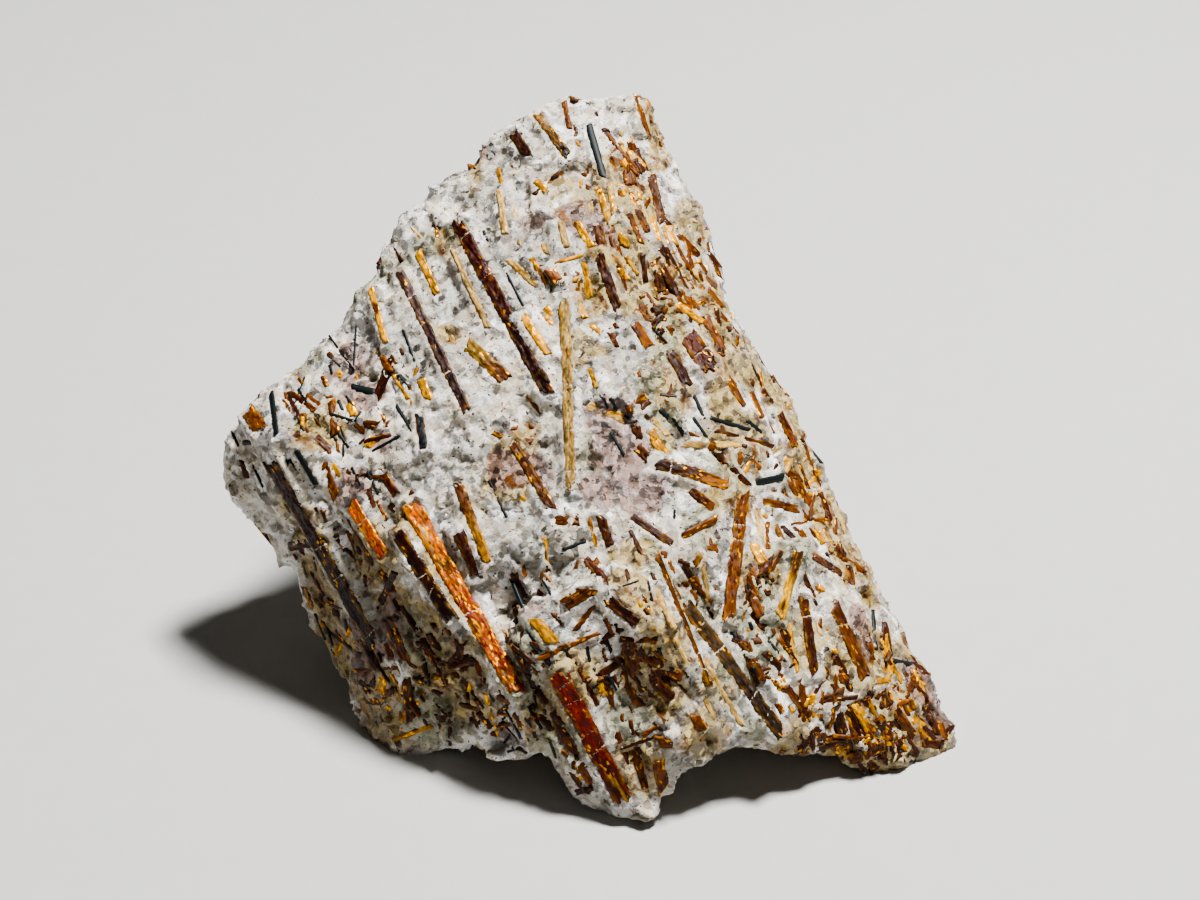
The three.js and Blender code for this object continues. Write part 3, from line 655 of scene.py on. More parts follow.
def clear_of(lath, others, gap):
    """True if the middle and ends of a lath lie outside the others."""
    spots = lath.place(np.array([[0, 0, 0], [lath.length / 2, 0, 0], [lath.length, 0, 0]]))
    for other in others:
        if np.linalg.norm(other.origin - lath.origin) > other.length + lath.length:
            continue
        local = other.local(spots)
        inside = (
            (local[:, 0] > -gap)
            & (local[:, 0] < other.length + gap)
            & (np.abs(local[:, 1]) < other.width / 2 + gap)
            & (np.abs(local[:, 2]) < MM)
        )
        if inside.any():
            return False
    return True


def hidden_laths(rng, rough, normals, faces, solids, settings):
    """Crystals on the sides that the eye doesn't see, as rich as the one that it does."""
    corners = np.array([face[:3] for face in faces])
    centres = rough[corners].mean(axis=1)
    outward = normals[corners].mean(axis=1)
    hidden = (outward @ TO_EYE < 0.12) & (centres[:, 2] > 0.5 * MM)
    chosen = np.flatnonzero(hidden)
    tree = Specimen.tree(rough, faces)
    shares = {BRONZE: 5, DARK: 4, GOLD: 2, PALE: 1, BLACK: 3}
    found = []
    way = unit(RIGHT * GROWTH_WAY[0] + UP * GROWTH_WAY[1])
    for n in range(settings.hidden_long + settings.hidden):
        face = chosen[rng.integers(len(chosen))]
        centre, normal = centres[face], unit(outward[face])
        tone = pick_tone(rng, shares)
        length, width = chip_size(rng, tone, settings)
        if n < settings.hidden_long:
            tone = pick_tone(rng, {BRONZE: 3, DARK: 4, GOLD: 1})
            length, width = 3.5 + 8 * rng.random() ** 2, 0.6 + 0.7 * rng.random()
        aim = way if rng.random() < 0.6 else rng.normal(size=3)
        aim = aim + rng.normal(size=3) * 0.18
        aim = unit(aim - normal * aim.dot(normal))
        ends = []
        for side in (-0.5, 0.0, 0.5):
            start = centre + aim * side * length * MM + normal * 2 * MM
            place = tree.ray_cast(Vector(start), Vector(-normal), 4 * MM)[0]
            if place:
                ends.append(np.array(place))
        if len(ends) < 3 or min(end[2] for end in ends) < 0.8 * MM:
            continue
        lath = lath_between(ends[0], ends[2], normal, width * MM, tone, HIDDEN_SEED + n)
        lath.origin = lath.origin + lath.axes[2] * (0.04 * MM + max(0, lath.local(ends[1][None])[0, 2] * 0.5))
        if clear_of(lath, solids + found[: settings.hidden_long], gap=0.25 * MM):
            found.append(lath)
    return found


def place_small(rough, normals, faces, solids, settings):
    """All the crystals too small for a solid."""
    rng = np.random.default_rng(PLACING_SEED)
    tree = Specimen.tree(rough, faces)
    placed = []
    for n, row in enumerate(SEEN_CRYSTALS):
        lath = seen_lath(tree, row, SEEN_SEED + n, proud=0.06 * MM)
        if lath:
            placed.append(lath)
    first = list(placed)
    for n, row in enumerate(crowd_rows(rng, settings)):
        lath = seen_lath(tree, row, CROWD_SEED + n, proud=0.03 * MM)
        if lath and clear_of(lath, solids + first, gap=0.15 * MM):
            placed.append(lath)
    return placed + hidden_laths(rng, rough, normals, faces, solids, settings)


def strip_levels(rng, s, t, lath, settings):
    """Heights of the cleaved strips of a lath: each strip runs on for a while and then steps."""
    strips = max(1, round(lath.width / settings.lamella))
    wave = 0.25 * np.sin(s * lath.length / STRIP_WAVE * 2 * math.pi + rng.random() * 6)
    strip = np.clip(np.floor((t + 1) / 2 * strips + wave), 0, strips - 1).astype(int)
    pieces = max(1, round(lath.length / STRIP_LENGTH))
    breaks = np.sort(rng.random((strips, pieces)), axis=1)
    levels = rng.random((strips, pieces + 1)) ** 2
    which = np.zeros(s.shape, dtype=int)
    for n in range(pieces):
        which += s > breaks[strip, n]
    return levels[strip, which]


def cross_cracks(rng, x, y, lath, settings):
    """1 in a cross crack, 0 off it. Cracks run nearly square across."""
    crack = np.zeros(x.shape)
    for _ in range(int(lath.length / settings.crack_spacing * (0.6 + rng.random()))):
        place, slope = rng.random() * lath.length, rng.normal() * 0.35
        width = (0.03 + 0.04 * rng.random()) * MM
        crack = np.maximum(crack, 1 - ramp(np.abs(x - place - slope * y), width * 0.4, width * 1.6))
    return crack


def grow(lath, colours, settings):
    """The mesh of one crystal: a cleaved top, ragged ends and sides that go into the rock."""
    rng = np.random.default_rng(lath.seed)
    coarse = 1 if lath.node else COARSER
    count_x = max(4, math.ceil(lath.length / (settings.step * coarse)))
    count_y = max(4, math.ceil(lath.width / (settings.step * 0.75 * coarse)))
    s, t = np.meshgrid(np.linspace(0, 1, count_x), np.linspace(-1, 1, count_y), indexing="ij")
    needle = lath.tone == BLACK
    # Needles have straighter edges and ends than laths
    bay, nick, tooth = (0.12, 0.04, 0.1) if needle else (0.24, 0.07, 0.4)
    half = np.ones((2, count_x))
    for side in range(2):
        knots = max(3, int(lath.length / EDGE_KNOTS) + 2)
        edge = 1 - bay * rng.random(knots) ** 2
        half[side] = np.interp(np.linspace(0, knots - 1, count_x), np.arange(knots), edge)
        half[side] -= nick * rng.random(count_x)
    half *= lath.width / 2 * (WIDER if lath.node else 1)
    y = np.where(t < 0, t * half[0][:, None], t * half[1][:, None])
    ends = []
    for _ in range(2):
        teeth = rng.random(max(2, count_y // 2)) * lath.width * tooth
        slant = rng.normal() * 0.25 * lath.width
        end = np.repeat(teeth, 3)[:count_y]
        end = np.interp(np.arange(count_y), np.arange(len(end)), end)
        ends.append(end + slant * np.linspace(-1, 1, count_y))
    x = ends[0] + s * (lath.length - ends[1] - ends[0])
    crack = cross_cracks(rng, x, y, lath, settings)
    if needle:
        drop = 0.3 * half.mean() * np.abs(t) ** 1.5 + 0.04 * MM * rng.random() * s
    else:
        drop = settings.lamella_drop * strip_levels(rng, s, t, lath, settings)
        drop = drop + EDGE_DROP * ramp(np.abs(t), 0.7, 1)
    drop = drop + CRACK_DEPTH * crack
    depth = LARGE_DEPTH if lath.node else SMALL_DEPTH
    end_share = np.minimum(s, 1 - s) * lath.length / lath.width
    edge = np.maximum(ramp(np.abs(t), 0.5, 1), 1 - ramp(end_share, 0, 0.5))
    dust = np.maximum(crack, {BLACK: 0.2, PALE: 0.6}.get(lath.tone, 0.45) * edge)
    top = np.stack([x, y, -drop], axis=-1).reshape(-1, 3)
    number = np.arange(count_x * count_y).reshape(count_x, count_y)
    rim = np.concatenate([number[:, 0], number[-1, 1:], number[-2::-1, -1], number[0, -2:0:-1]])
    foot = top[rim].copy()
    foot[:, 2] = -depth
    vertices = np.concatenate([top, foot])
    corners = (number[:-1, :-1], number[1:, :-1], number[1:, 1:], number[:-1, 1:])
    faces = [tuple(quad) for quad in np.stack(corners, axis=-1).reshape(-1, 4).tolist()]
    low = count_x * count_y + np.arange(len(rim))
    follow, low_follow = np.roll(rim, -1), np.roll(low, -1)
    faces += [tuple(quad) for quad in np.stack([rim, low, low_follow, follow], axis=1).tolist()]
    faces.append(tuple(low[::-1].tolist()))
    shift = rng.random(2) * 50
    lath_uv = np.stack([vertices[:, 0] / MM + shift[0], vertices[:, 1] / MM + shift[1]], axis=1)
    tint, spark = tint_of(rng, lath, vertices, colours)
    dust = np.concatenate([dust.ravel(), dust.ravel()[rim]])
    placed = lath.place(vertices)
    placed[:, 2] = np.maximum(placed[:, 2], 0)
    return placed, faces, {"tint": tint, "spark": spark, "dust": dust, "lath": lath_uv}


# How each tone is mixed: patches of other tones with their shares, and the share of glinting flakes
MIXES = {
    DARK: (((BRONZE, 0.2), (GOLD, 0.02)), 0.03),
    BRONZE: (((DARK, 0.3), (GOLD, 0.12)), 0.12),
    GOLD: (((BRONZE, 0.3), (PALE, 0.1)), 0.5),
    PALE: (((GOLD, 0.22), (BRONZE, 0.18)), 0.06),
    BLACK: ((), 0.0),
}


def tint_of(rng, lath, local, colours):
    """Colour at each vertex of a lath, in patches along it, and how much it glints there."""
    patches, glint = MIXES[lath.tone]
    start = end = colours[lath.tone]
    if lath.node in OWN_COLOURS:
        upper, lower, glint = OWN_COLOURS[lath.node]
        start, end = np.array(linear(upper)), np.array(linear(lower))
    stretched = local / np.array([1.6, 0.45, 1.0]) + rng.random(3) * 9 * MM
    turn = ramp(local[:, 0] / lath.length + 0.25 * lumps(stretched, 1.0 * MM, 3), 0.25, 0.8)
    tint = np.outer(1 - turn, start) + np.outer(turn, end)
    spark = np.full(len(local), glint)
    for n, (other, share) in enumerate(patches):
        patch = ramp(lumps(stretched, 1.0 * MM, 11 + n), 0.85 - 1.6 * share, 1.15 - 1.6 * share)
        tint = tint * (1 - patch)[:, None] + np.outer(patch, colours[other])
        spark = spark + 0.15 * patch
    if lath.tone != BLACK:
        worn = ramp(np.abs(local[:, 1]) / (lath.width / 2), 0.4, 0.95)
        worn = worn * ramp(lumps(local, 0.5 * MM, 23), -0.5, 0.7)
        tint = tint * (1 - 0.45 * worn)[:, None] + np.outer(0.45 * worn, 0.75 * colours[GOLD])
    strength = 1 if lath.node in OWN_COLOURS else 0.65 + 0.7 * rng.random()
    return np.clip(tint * strength, 0, 1), np.clip(spark, 0, 1)


def grow_many(name, laths, colours, material, slot):
    """Several crystals as one joined mesh."""
    parts = [grow(lath, colours, bpy.context.scene.crystal_looks) for lath in laths]
    vertices, faces, count = [], [], 0
    for place, sides, _ in parts:
        vertices.append(place)
        faces += [tuple(i + count for i in side) for side in sides]
        count += len(place)
    attributes = {key: np.concatenate([part[2][key] for part in parts]) for key in parts[0][2]}
    return make_piece(name, np.concatenate(vertices), faces, material, slot, attributes)


def crystal_colours(settings):
    return {tone: np.array(getattr(settings, tone)) for tone in SLOTS}


# Materials


def add_node(material, kind, links=(), **settings):
    """Adds a node; settings are its own properties, links are (socket, value or another node's socket)."""
    made = material.node_tree.nodes.new(kind)
    for name, value in settings.items():
        setattr(made, name, value)
    for socket, value in links:
        if isinstance(value, bpy.types.NodeSocket):
            material.node_tree.links.new(value, made.inputs[socket])
        else:
            made.inputs[socket].default_value = value
    return made


def new_material(name):
    material = bpy.data.materials.new(name)
    material.use_nodes = True
    material.node_tree.nodes.clear()
    return material


# The Mix node's sockets for colours: the share of the second colour, the two colours and the result
MIX_SOCKETS = (0, 6, 7)
MIXED = 2

MIDDLE_GREY = (0.5, 0.5, 0.5)

# Sizes of the patterns in millimetres: on the rock, its clouds and its fine bumps, whose height also sets a
# painted shade; on a lath, length and width of a cleaved sheet, of a flake on it and of the lines along it,
# and the grit in its cracks
CLOUD = 2.6
FINE_BUMP = 0.16
SHEET = (0.8, 0.3)
FLAKE = (0.3, 0.14)
LINES = (2.5, 0.06)
GRIT = 0.22
NEEDLE_LINES = (3.0, 0.05)
MOTTLE = 3

# Stains and dust never hide all that lies under them
MOST_STAIN = 0.78
MOST_DUST = 0.85


def tilted_normal(material, normal, cell_colour, tilt):
    """A normal that leans a random way in each cell, as the cleavage of each grain does."""
    links = ((0, cell_colour), (1, MIDDLE_GREY))
    centred = add_node(material, "ShaderNodeVectorMath", links, operation="SUBTRACT").outputs[0]
    scaled = add_node(material, "ShaderNodeVectorMath", ((0, centred), ("Scale", tilt)), operation="SCALE")
    links = ((0, normal), (1, scaled.outputs[0]))
    leaning = add_node(material, "ShaderNodeVectorMath", links, operation="ADD").outputs[0]
    return add_node(material, "ShaderNodeVectorMath", ((0, leaning),), operation="NORMALIZE").outputs[0]


def opaque(colour):
    return (*colour, 1.0)


def millimetres(material):
    """Places on the piece in millimetres."""
    links = ((0, add_node(material, "ShaderNodeTexCoord").outputs["Object"]), ("Scale", 1 / MM))
    return add_node(material, "ShaderNodeVectorMath", links, operation="SCALE").outputs[0]


def wobbly(material, coords, size, reach):
    """Coordinates pushed about a little, so that the walls of the grains aren't straight."""
    links = (("Vector", coords), ("Scale", 1 / size), ("Detail", 2.0))
    noise = add_node(material, "ShaderNodeTexNoise", links)
    links = ((0, noise.outputs["Color"]), (1, MIDDLE_GREY))
    centred = add_node(material, "ShaderNodeVectorMath", links, operation="SUBTRACT").outputs[0]
    links = enumerate((centred, (reach, reach, reach), coords))
    return add_node(material, "ShaderNodeVectorMath", links, operation="MULTIPLY_ADD").outputs[0]


def buried_laths(material, coords, turn, length, width, share):
    """Where laths lie just under the surface and show through it, and a random number for each."""
    links = (("Vector", coords), ("Rotation", turn), ("Scale", (length, width, width)))
    placed = add_node(material, "ShaderNodeMapping", links, vector_type="TEXTURE")
    cells = add_node(material, "ShaderNodeTexVoronoi", (("Vector", placed.outputs[0]), ("Scale", 1.0)))
    random = add_node(material, "ShaderNodeSeparateColor", (("Color", cells.outputs["Color"]),))
    chosen = add_node(material, "ShaderNodeMath", ((0, random.outputs[0]), (1, share)), operation="LESS_THAN")
    inside = add_node(material, "ShaderNodeMapRange", enumerate((cells.outputs["Distance"], 0.5, 0.3)))
    links = ((0, chosen.outputs[0]), (1, inside.outputs[0]))
    return add_node(material, "ShaderNodeMath", links, operation="MULTIPLY").outputs[0], random.outputs[1]


def feldspar(settings):
    """Broken feldspar rock: bruised white grains scatter light under the surface, each cleaved face
    leans its own way and glints, and glassy grains look grey because they show the dark inside."""
    material = new_material("Feldspar rock, freshly broken")
    coords = millimetres(material)
    uneven = wobbly(material, coords, 0.6, 0.5)
    normal = add_node(material, "ShaderNodeNewGeometry").outputs["Normal"]
    grain = add_node(material, "ShaderNodeTexVoronoi", (("Vector", uneven), ("Scale", MM / settings.grain)))
    sugar = add_node(material, "ShaderNodeTexVoronoi", (("Vector", uneven), ("Scale", MM / settings.sugar)))
    links = (("Vector", coords), ("Scale", 1 / CLOUD), ("Detail", 5.0), ("Roughness", 0.62))
    cloud = add_node(material, "ShaderNodeTexNoise", links).outputs["Fac"]
    links = (("Vector", coords), ("Scale", 1 / FINE_BUMP), ("Detail", 3.0))
    dust = add_node(material, "ShaderNodeTexNoise", links).outputs["Fac"]
    zones = add_node(material, "ShaderNodeAttribute", attribute_name="zones")
    zone = add_node(material, "ShaderNodeSeparateColor", (("Color", zones.outputs["Color"]),)).outputs
    grain_random = add_node(material, "ShaderNodeSeparateColor", (("Color", grain.outputs["Color"]),)).outputs
    sugar_random = add_node(material, "ShaderNodeSeparateColor", (("Color", sugar.outputs["Color"]),)).outputs

    # White, milky and glassy grains side by side, in clouds
    colour = opaque(settings.white)
    for random, low, high, most, other in (
        (grain_random[0], 0.7, 1.3, 1.0, settings.milky),
        (grain_random[1], 1.12, 1.35, 0.65, settings.grey),
    ):
        blend = add_node(material, "ShaderNodeMath", ((0, random), (1, cloud)), operation="ADD").outputs[0]
        share = add_node(material, "ShaderNodeMapRange", enumerate((blend, low, high, 0.0, most))).outputs[0]
        links = zip(MIX_SOCKETS, (share, colour, opaque(other)))
        colour = add_node(material, "ShaderNodeMix", links, data_type="RGBA").outputs[MIXED]
    # Stains, each of two kinds of grain
    for level, deep, light, low, high in (
        (zone[1], settings.grey, linear("#b3b2ab"), 0.5, 1.1),
        (zone[2], settings.rust, linear("#b3983c"), 0.26, 0.9),
        (zones.outputs["Alpha"], settings.green, linear("#a3a083"), 0.4, 1.0),
        (zone[0], settings.mauve, linear("#9a7468"), 0.4, 0.72),
    ):
        links = zip(MIX_SOCKETS, (sugar_random[2], opaque(deep), opaque(light)))
        grains = add_node(material, "ShaderNodeMix", links, data_type="RGBA").outputs[MIXED]
        links = enumerate((sugar_random[1], 0.5, level))
        level = add_node(material, "ShaderNodeMath", links, operation="MULTIPLY_ADD").outputs[0]
        links = enumerate((level, low, high, 0.0, MOST_STAIN))
        share = add_node(material, "ShaderNodeMapRange", links).outputs[0]
        links = zip(MIX_SOCKETS, (share, colour, grains))
        colour = add_node(material, "ShaderNodeMix", links, data_type="RGBA").outputs[MIXED]
    # Laths that show through from under the surface, most of them lying the way that the large ones grew
    along = unit(RIGHT * GROWTH_WAY[0] + UP * GROWTH_WAY[1] + TO_EYE * 0.5)
    along = Vector(along).to_track_quat("X", "Z").to_euler()
    athwart = Euler((0.4, 1.0, 0.7))
    for turn, length, width, share, deep, light, strength in (
        (along, 3.4, 0.85, 0.17, "#5a2a10", "#a37c3c", 0.8),
        (along, 2.0, 0.6, 0.17, "#3a1709", "#8b5217", 0.85),
        (athwart, 2.2, 0.6, 0.1, "#45200f", "#7d6a44", 0.8),
    ):
        mask, random = buried_laths(material, uneven, turn, length, width, share)
        links = zip(MIX_SOCKETS, (random, opaque(linear(deep)), opaque(linear(light))))
        tone = add_node(material, "ShaderNodeMix", links, data_type="RGBA").outputs[MIXED]
        links = enumerate((zone[2], 0.0, 0.7, 0.25 * strength, strength))
        depth = add_node(material, "ShaderNodeMapRange", links).outputs[0]
        mask = add_node(material, "ShaderNodeMath", ((0, mask), (1, depth)), operation="MULTIPLY").outputs[0]
        links = zip(MIX_SOCKETS, (mask, colour, tone))
        colour = add_node(material, "ShaderNodeMix", links, data_type="RGBA").outputs[MIXED]
    # Fine dark specks of aegirine and brown ones of astrophyllite
    for shift, size, threshold, speck in ((3.0, 0.3, 0.7, "#241d1a"), (9.0, 0.45, 0.71, "#6b3f20")):
        links = ((0, coords), (1, (shift, shift, shift)))
        moved = add_node(material, "ShaderNodeVectorMath", links, operation="ADD").outputs[0]
        links = (("Vector", moved), ("Scale", 1 / size), ("Detail", 1.0))
        specks = add_node(material, "ShaderNodeTexNoise", links).outputs["Fac"]
        links = enumerate((specks, threshold, threshold + 0.035))
        spot = add_node(material, "ShaderNodeMapRange", links).outputs[0]
        links = zip(MIX_SOCKETS, (spot, colour, opaque(linear(speck))))
        colour = add_node(material, "ShaderNodeMix", links, data_type="RGBA").outputs[MIXED]
    # Painted shade: the colour is darker where the fine bump sinks and a little lighter where it rises
    painted_shade = add_node(material, "ShaderNodeMapRange", enumerate((dust, 0.3, 0.7, 0.8, 1.06))).outputs[0]
    shaded = add_node(material, "ShaderNodeVectorMath", ((0, colour), ("Scale", painted_shade)), operation="SCALE")

    leaning = tilted_normal(material, normal, grain.outputs["Color"], 0.9)
    leaning = tilted_normal(material, leaning, sugar.outputs["Color"], 0.8)
    links = (("Height", dust), ("Normal", leaning), ("Strength", 1.0), ("Distance", 0.06 * MM))
    bump = add_node(material, "ShaderNodeBump", links)
    gloss = add_node(material, "ShaderNodeMapRange", enumerate((sugar_random[2], 0.0, 1.0, 0.22, 0.75)))
    links = (
        ("Base Color", shaded.outputs[0]),
        ("Roughness", gloss.outputs[0]),
        ("IOR", 1.53),
        ("Subsurface Weight", 0.1),
        ("Subsurface Radius", (1.0, 0.9, 0.8)),
        ("Subsurface Scale", 0.35 * MM),
        ("Normal", bump.outputs[0]),
    )
    shader = add_node(material, "ShaderNodeBsdfPrincipled", links, subsurface_method="RANDOM_WALK")
    add_node(material, "ShaderNodeOutputMaterial", (("Surface", shader.outputs[0]),))
    return material


def lath_coords(material, along, across):
    """Coordinates on a lath, in flakes of the given length and width in millimetres."""
    uv = add_node(material, "ShaderNodeUVMap", uv_map="lath").outputs[0]
    links = ((0, uv), (1, (1 / along, 1 / across, 1.0)))
    return add_node(material, "ShaderNodeVectorMath", links, operation="MULTIPLY").outputs[0]


def astrophyllite(name):
    """Astrophyllite: a brittle mica-like mineral. Its cleaved sheets shine like bronze, split sheets
    throw golden light back, and cross cracks and worn edges hold pale rock dust."""
    material = new_material(name)
    tint = add_node(material, "ShaderNodeAttribute", attribute_name="tint").outputs["Color"]
    spark = add_node(material, "ShaderNodeAttribute", attribute_name="spark").outputs["Fac"]
    dusty = add_node(material, "ShaderNodeAttribute", attribute_name="dust").outputs["Fac"]
    normal = add_node(material, "ShaderNodeNewGeometry").outputs["Normal"]
    coords = millimetres(material)
    cells = []
    for length, width in (SHEET, FLAKE):
        links = (("Vector", lath_coords(material, length, width)), ("Scale", 1.0))
        flakes = add_node(material, "ShaderNodeTexVoronoi", links, voronoi_dimensions="2D")
        random = add_node(material, "ShaderNodeSeparateColor", (("Color", flakes.outputs["Color"]),))
        cells.append((flakes.outputs["Color"], random.outputs))
    (sheet, sheet_random), (flake, flake_random) = cells
    links = (("Vector", lath_coords(material, *LINES)), ("Scale", 1.0), ("Detail", 2.0))
    lines = add_node(material, "ShaderNodeTexNoise", links, noise_dimensions="2D").outputs["Fac"]
    # Each sheet and flake a little lighter or darker
    colour = tint
    for random in (sheet_random[0], flake_random[0]):
        level = add_node(material, "ShaderNodeMapRange", enumerate((random, 0.0, 1.0, 0.65, 1.35))).outputs[0]
        links = ((0, colour), ("Scale", level))
        colour = add_node(material, "ShaderNodeVectorMath", links, operation="SCALE").outputs[0]
    # Flakes that throw light back
    part = add_node(material, "ShaderNodeMath", ((0, spark), (1, 0.5)), operation="MULTIPLY").outputs[0]
    links = ((0, flake_random[1]), (1, part))
    lit = add_node(material, "ShaderNodeMath", links, operation="LESS_THAN").outputs[0]
    links = ((0, colour), ("Scale", 1.8))
    bright = add_node(material, "ShaderNodeVectorMath", links, operation="SCALE").outputs[0]
    links = zip(MIX_SOCKETS, (flake_random[2], bright, opaque(linear("#ffb222"))))
    golden = add_node(material, "ShaderNodeMix", links, data_type="RGBA").outputs[MIXED]
    links = zip(MIX_SOCKETS, (lit, colour, golden))
    colour = add_node(material, "ShaderNodeMix", links, data_type="RGBA").outputs[MIXED]
    streak = add_node(material, "ShaderNodeMapRange", enumerate((lines, 0.3, 0.7, 0.75, 1.15))).outputs[0]
    links = ((0, colour), ("Scale", streak))
    colour = add_node(material, "ShaderNodeVectorMath", links, operation="SCALE").outputs[0]
    # Rock dust in the cracks and over the edges
    links = (("Vector", coords), ("Scale", 1 / GRIT), ("Detail", 3.0))
    grit = add_node(material, "ShaderNodeTexNoise", links).outputs["Fac"]
    level = add_node(material, "ShaderNodeMath", enumerate((grit, 1.4, dusty)), operation="MULTIPLY_ADD")
    links = enumerate((level.outputs[0], 1.28, 1.45, 0.0, MOST_DUST))
    dust = add_node(material, "ShaderNodeMapRange", links).outputs[0]
    links = zip(MIX_SOCKETS, (dust, colour, opaque(linear("#c4b8a2"))))
    colour = add_node(material, "ShaderNodeMix", links, data_type="RGBA").outputs[MIXED]
    leaning = tilted_normal(material, normal, sheet, 0.2)
    leaning = tilted_normal(material, leaning, flake, 0.35)
    links = (("Height", lines), ("Normal", leaning), ("Strength", 0.5), ("Distance", 0.03 * MM))
    bump = add_node(material, "ShaderNodeBump", links)
    clean = add_node(material, "ShaderNodeMapRange", enumerate((dust, 0.0, 0.6, 0.85, 0.0))).outputs[0]
    metal = add_node(material, "ShaderNodeMath", ((0, lit), (1, clean)), operation="MULTIPLY")
    dull = add_node(material, "ShaderNodeMapRange", enumerate((dust, 0.0, 0.6, 0.0, 0.5))).outputs[0]
    links = enumerate((flake_random[2], 0.25, 0.32))
    rough = add_node(material, "ShaderNodeMath", links, operation="MULTIPLY_ADD").outputs[0]
    rough = add_node(material, "ShaderNodeMath", ((0, rough), (1, dull)), operation="ADD")
    links = (
        ("Base Color", colour),
        ("Metallic", metal.outputs[0]),
        ("Roughness", rough.outputs[0]),
        ("IOR", 1.6),
        ("Specular IOR Level", 0.14),
        ("Normal", bump.outputs[0]),
    )
    shader = add_node(material, "ShaderNodeBsdfPrincipled", links)
    add_node(material, "ShaderNodeOutputMaterial", (("Surface", shader.outputs[0]),))
    return material


def aegirine():
    """Aegirine needles: glassy black-green prisms with fine lines along them."""
    material = new_material("Aegirine needles, natural faces")
    tint = add_node(material, "ShaderNodeAttribute", attribute_name="tint").outputs["Color"]
    links = (("Vector", lath_coords(material, *NEEDLE_LINES)), ("Scale", 1.0), ("Detail", 2.0))
    lines = add_node(material, "ShaderNodeTexNoise", links, noise_dimensions="2D").outputs["Fac"]
    level = add_node(material, "ShaderNodeMapRange", enumerate((lines, 0.0, 1.0, 0.5, 1.7))).outputs[0]
    colour = add_node(material, "ShaderNodeVectorMath", ((0, tint), ("Scale", level)), operation="SCALE")
    links = (("Height", lines), ("Strength", 0.4), ("Distance", 0.03 * MM))
    bump = add_node(material, "ShaderNodeBump", links)
    links = (
        ("Base Color", colour.outputs[0]),
        ("Roughness", 0.5),
        ("IOR", 1.7),
        ("Specular IOR Level", 0.15),
        ("Normal", bump.outputs[0]),
    )
    shader = add_node(material, "ShaderNodeBsdfPrincipled", links)
    add_node(material, "ShaderNodeOutputMaterial", (("Surface", shader.outputs[0]),))
    return material


def matt_card(colour):
    """Pale matt card: no shine, a faint fibre mottle."""
    material = new_material("Pale card, matt")
    links = (("Vector", millimetres(material)), ("Scale", 1 / MOTTLE), ("Detail", 3.0))
    mottle = add_node(material, "ShaderNodeTexNoise", links).outputs["Fac"]
    level = add_node(material, "ShaderNodeMapRange", enumerate((mottle, 0.0, 1.0, 0.97, 1.03))).outputs[0]
    links = ((0, tuple(colour)), ("Scale", level))
    shaded = add_node(material, "ShaderNodeVectorMath", links, operation="SCALE").outputs[0]
    shader = add_node(material, "ShaderNodeBsdfPrincipled", (("Base Color", shaded), ("Roughness", 0.9)))
    add_node(material, "ShaderNodeOutputMaterial", (("Surface", shader.outputs[0]),))
    return material


def stain_zones(vertices, tree):
    """How strongly each kind of stain lies on each vertex of the rock, from the seen spots and noise; some
    rust spots also carry painted shade.
    """
    strength = np.zeros((len(vertices), 4))
    ragged = 0.6 * MM * (lumps(vertices, 1.6 * MM, 61) + 0.6 * lumps(vertices, 0.7 * MM, 62))
    for u, v, radius, kind in STAINS:
        place, _ = ray_place(tree, u, v)
        if place is None:
            continue
        distance = np.linalg.norm(vertices - place, axis=1) + ragged
        spot = 1 - ramp(distance, 0.5 * radius * MM, 1.2 * radius * MM)
        strength[:, kind] = np.maximum(strength[:, kind], spot)
    for kind, (low, high) in enumerate(((0.52, 0.75), (0.25, 0.6), (0.4, 0.75), (0.55, 0.8))):
        wide = lumps(vertices, 5.5 * MM, 71 + kind) + 0.5 * lumps(vertices, 2.2 * MM, 81 + kind)
        strength[:, kind] = np.maximum(strength[:, kind], 0.9 * ramp(wide, low, high))
    return strength


# Operators


class SPECIMEN_OT_rock(bpy.types.Operator):
    """Breaks the rock's solid into facets and grains and gives it its feldspar"""

    bl_idname = "specimen.rock"
    bl_label = "Feldspar rock"

    def execute(self, context):
        settings = context.scene.rock_looks
        laths = find_laths()
        smooth, normals, faces = smooth_skin(laths, settings.spacing)
        rough = roughen(smooth, normals, laths, settings)
        small = place_small(rough, normals, faces, laths, context.scene.small_crystal_looks)
        settle_rock(rough, small, sink=0.12 * MM, rim=0.3 * MM, limit=0.45 * MM)
        settle_rock(rough, laths, sink=0.18 * MM, rim=0.8 * MM, limit=1.2 * MM)
        zones = stain_zones(rough, Specimen.tree(rough, faces))
        piece = make_piece("rock", rough, faces, feldspar(settings), "feldspar_matrix", {"zones": zones})
        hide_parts("matrix")
        Specimen.laths, Specimen.small = laths, small
        return {"FINISHED"}


class SPECIMEN_OT_laths(bpy.types.Operator):
    """Dresses each astrophyllite solid as a cleaved lath"""

    bl_idname = "specimen.laths"
    bl_label = "Astrophyllite laths"

    def execute(self, context):
        colours = crystal_colours(context.scene.crystal_looks)
        material = astrophyllite("Astrophyllite, cleaved sheets")
        for lath in Specimen.laths:
            if lath.tone != BLACK:
                piece = grow_many(f"{lath.node}_cleaved", [lath], colours, material, SLOTS[lath.tone])
                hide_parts(lath.node)
        return {"FINISHED"}


class SPECIMEN_OT_needles(bpy.types.Operator):
    """Dresses each aegirine solid as a needle"""

    bl_idname = "specimen.needles"
    bl_label = "Aegirine needles"

    def execute(self, context):
        colours = crystal_colours(context.scene.crystal_looks)
        material = aegirine()
        for lath in Specimen.laths:
            if lath.tone == BLACK:
                piece = grow_many(f"{lath.node}_lined", [lath], colours, material, SLOTS[BLACK])
                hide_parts(lath.node)
        return {"FINISHED"}


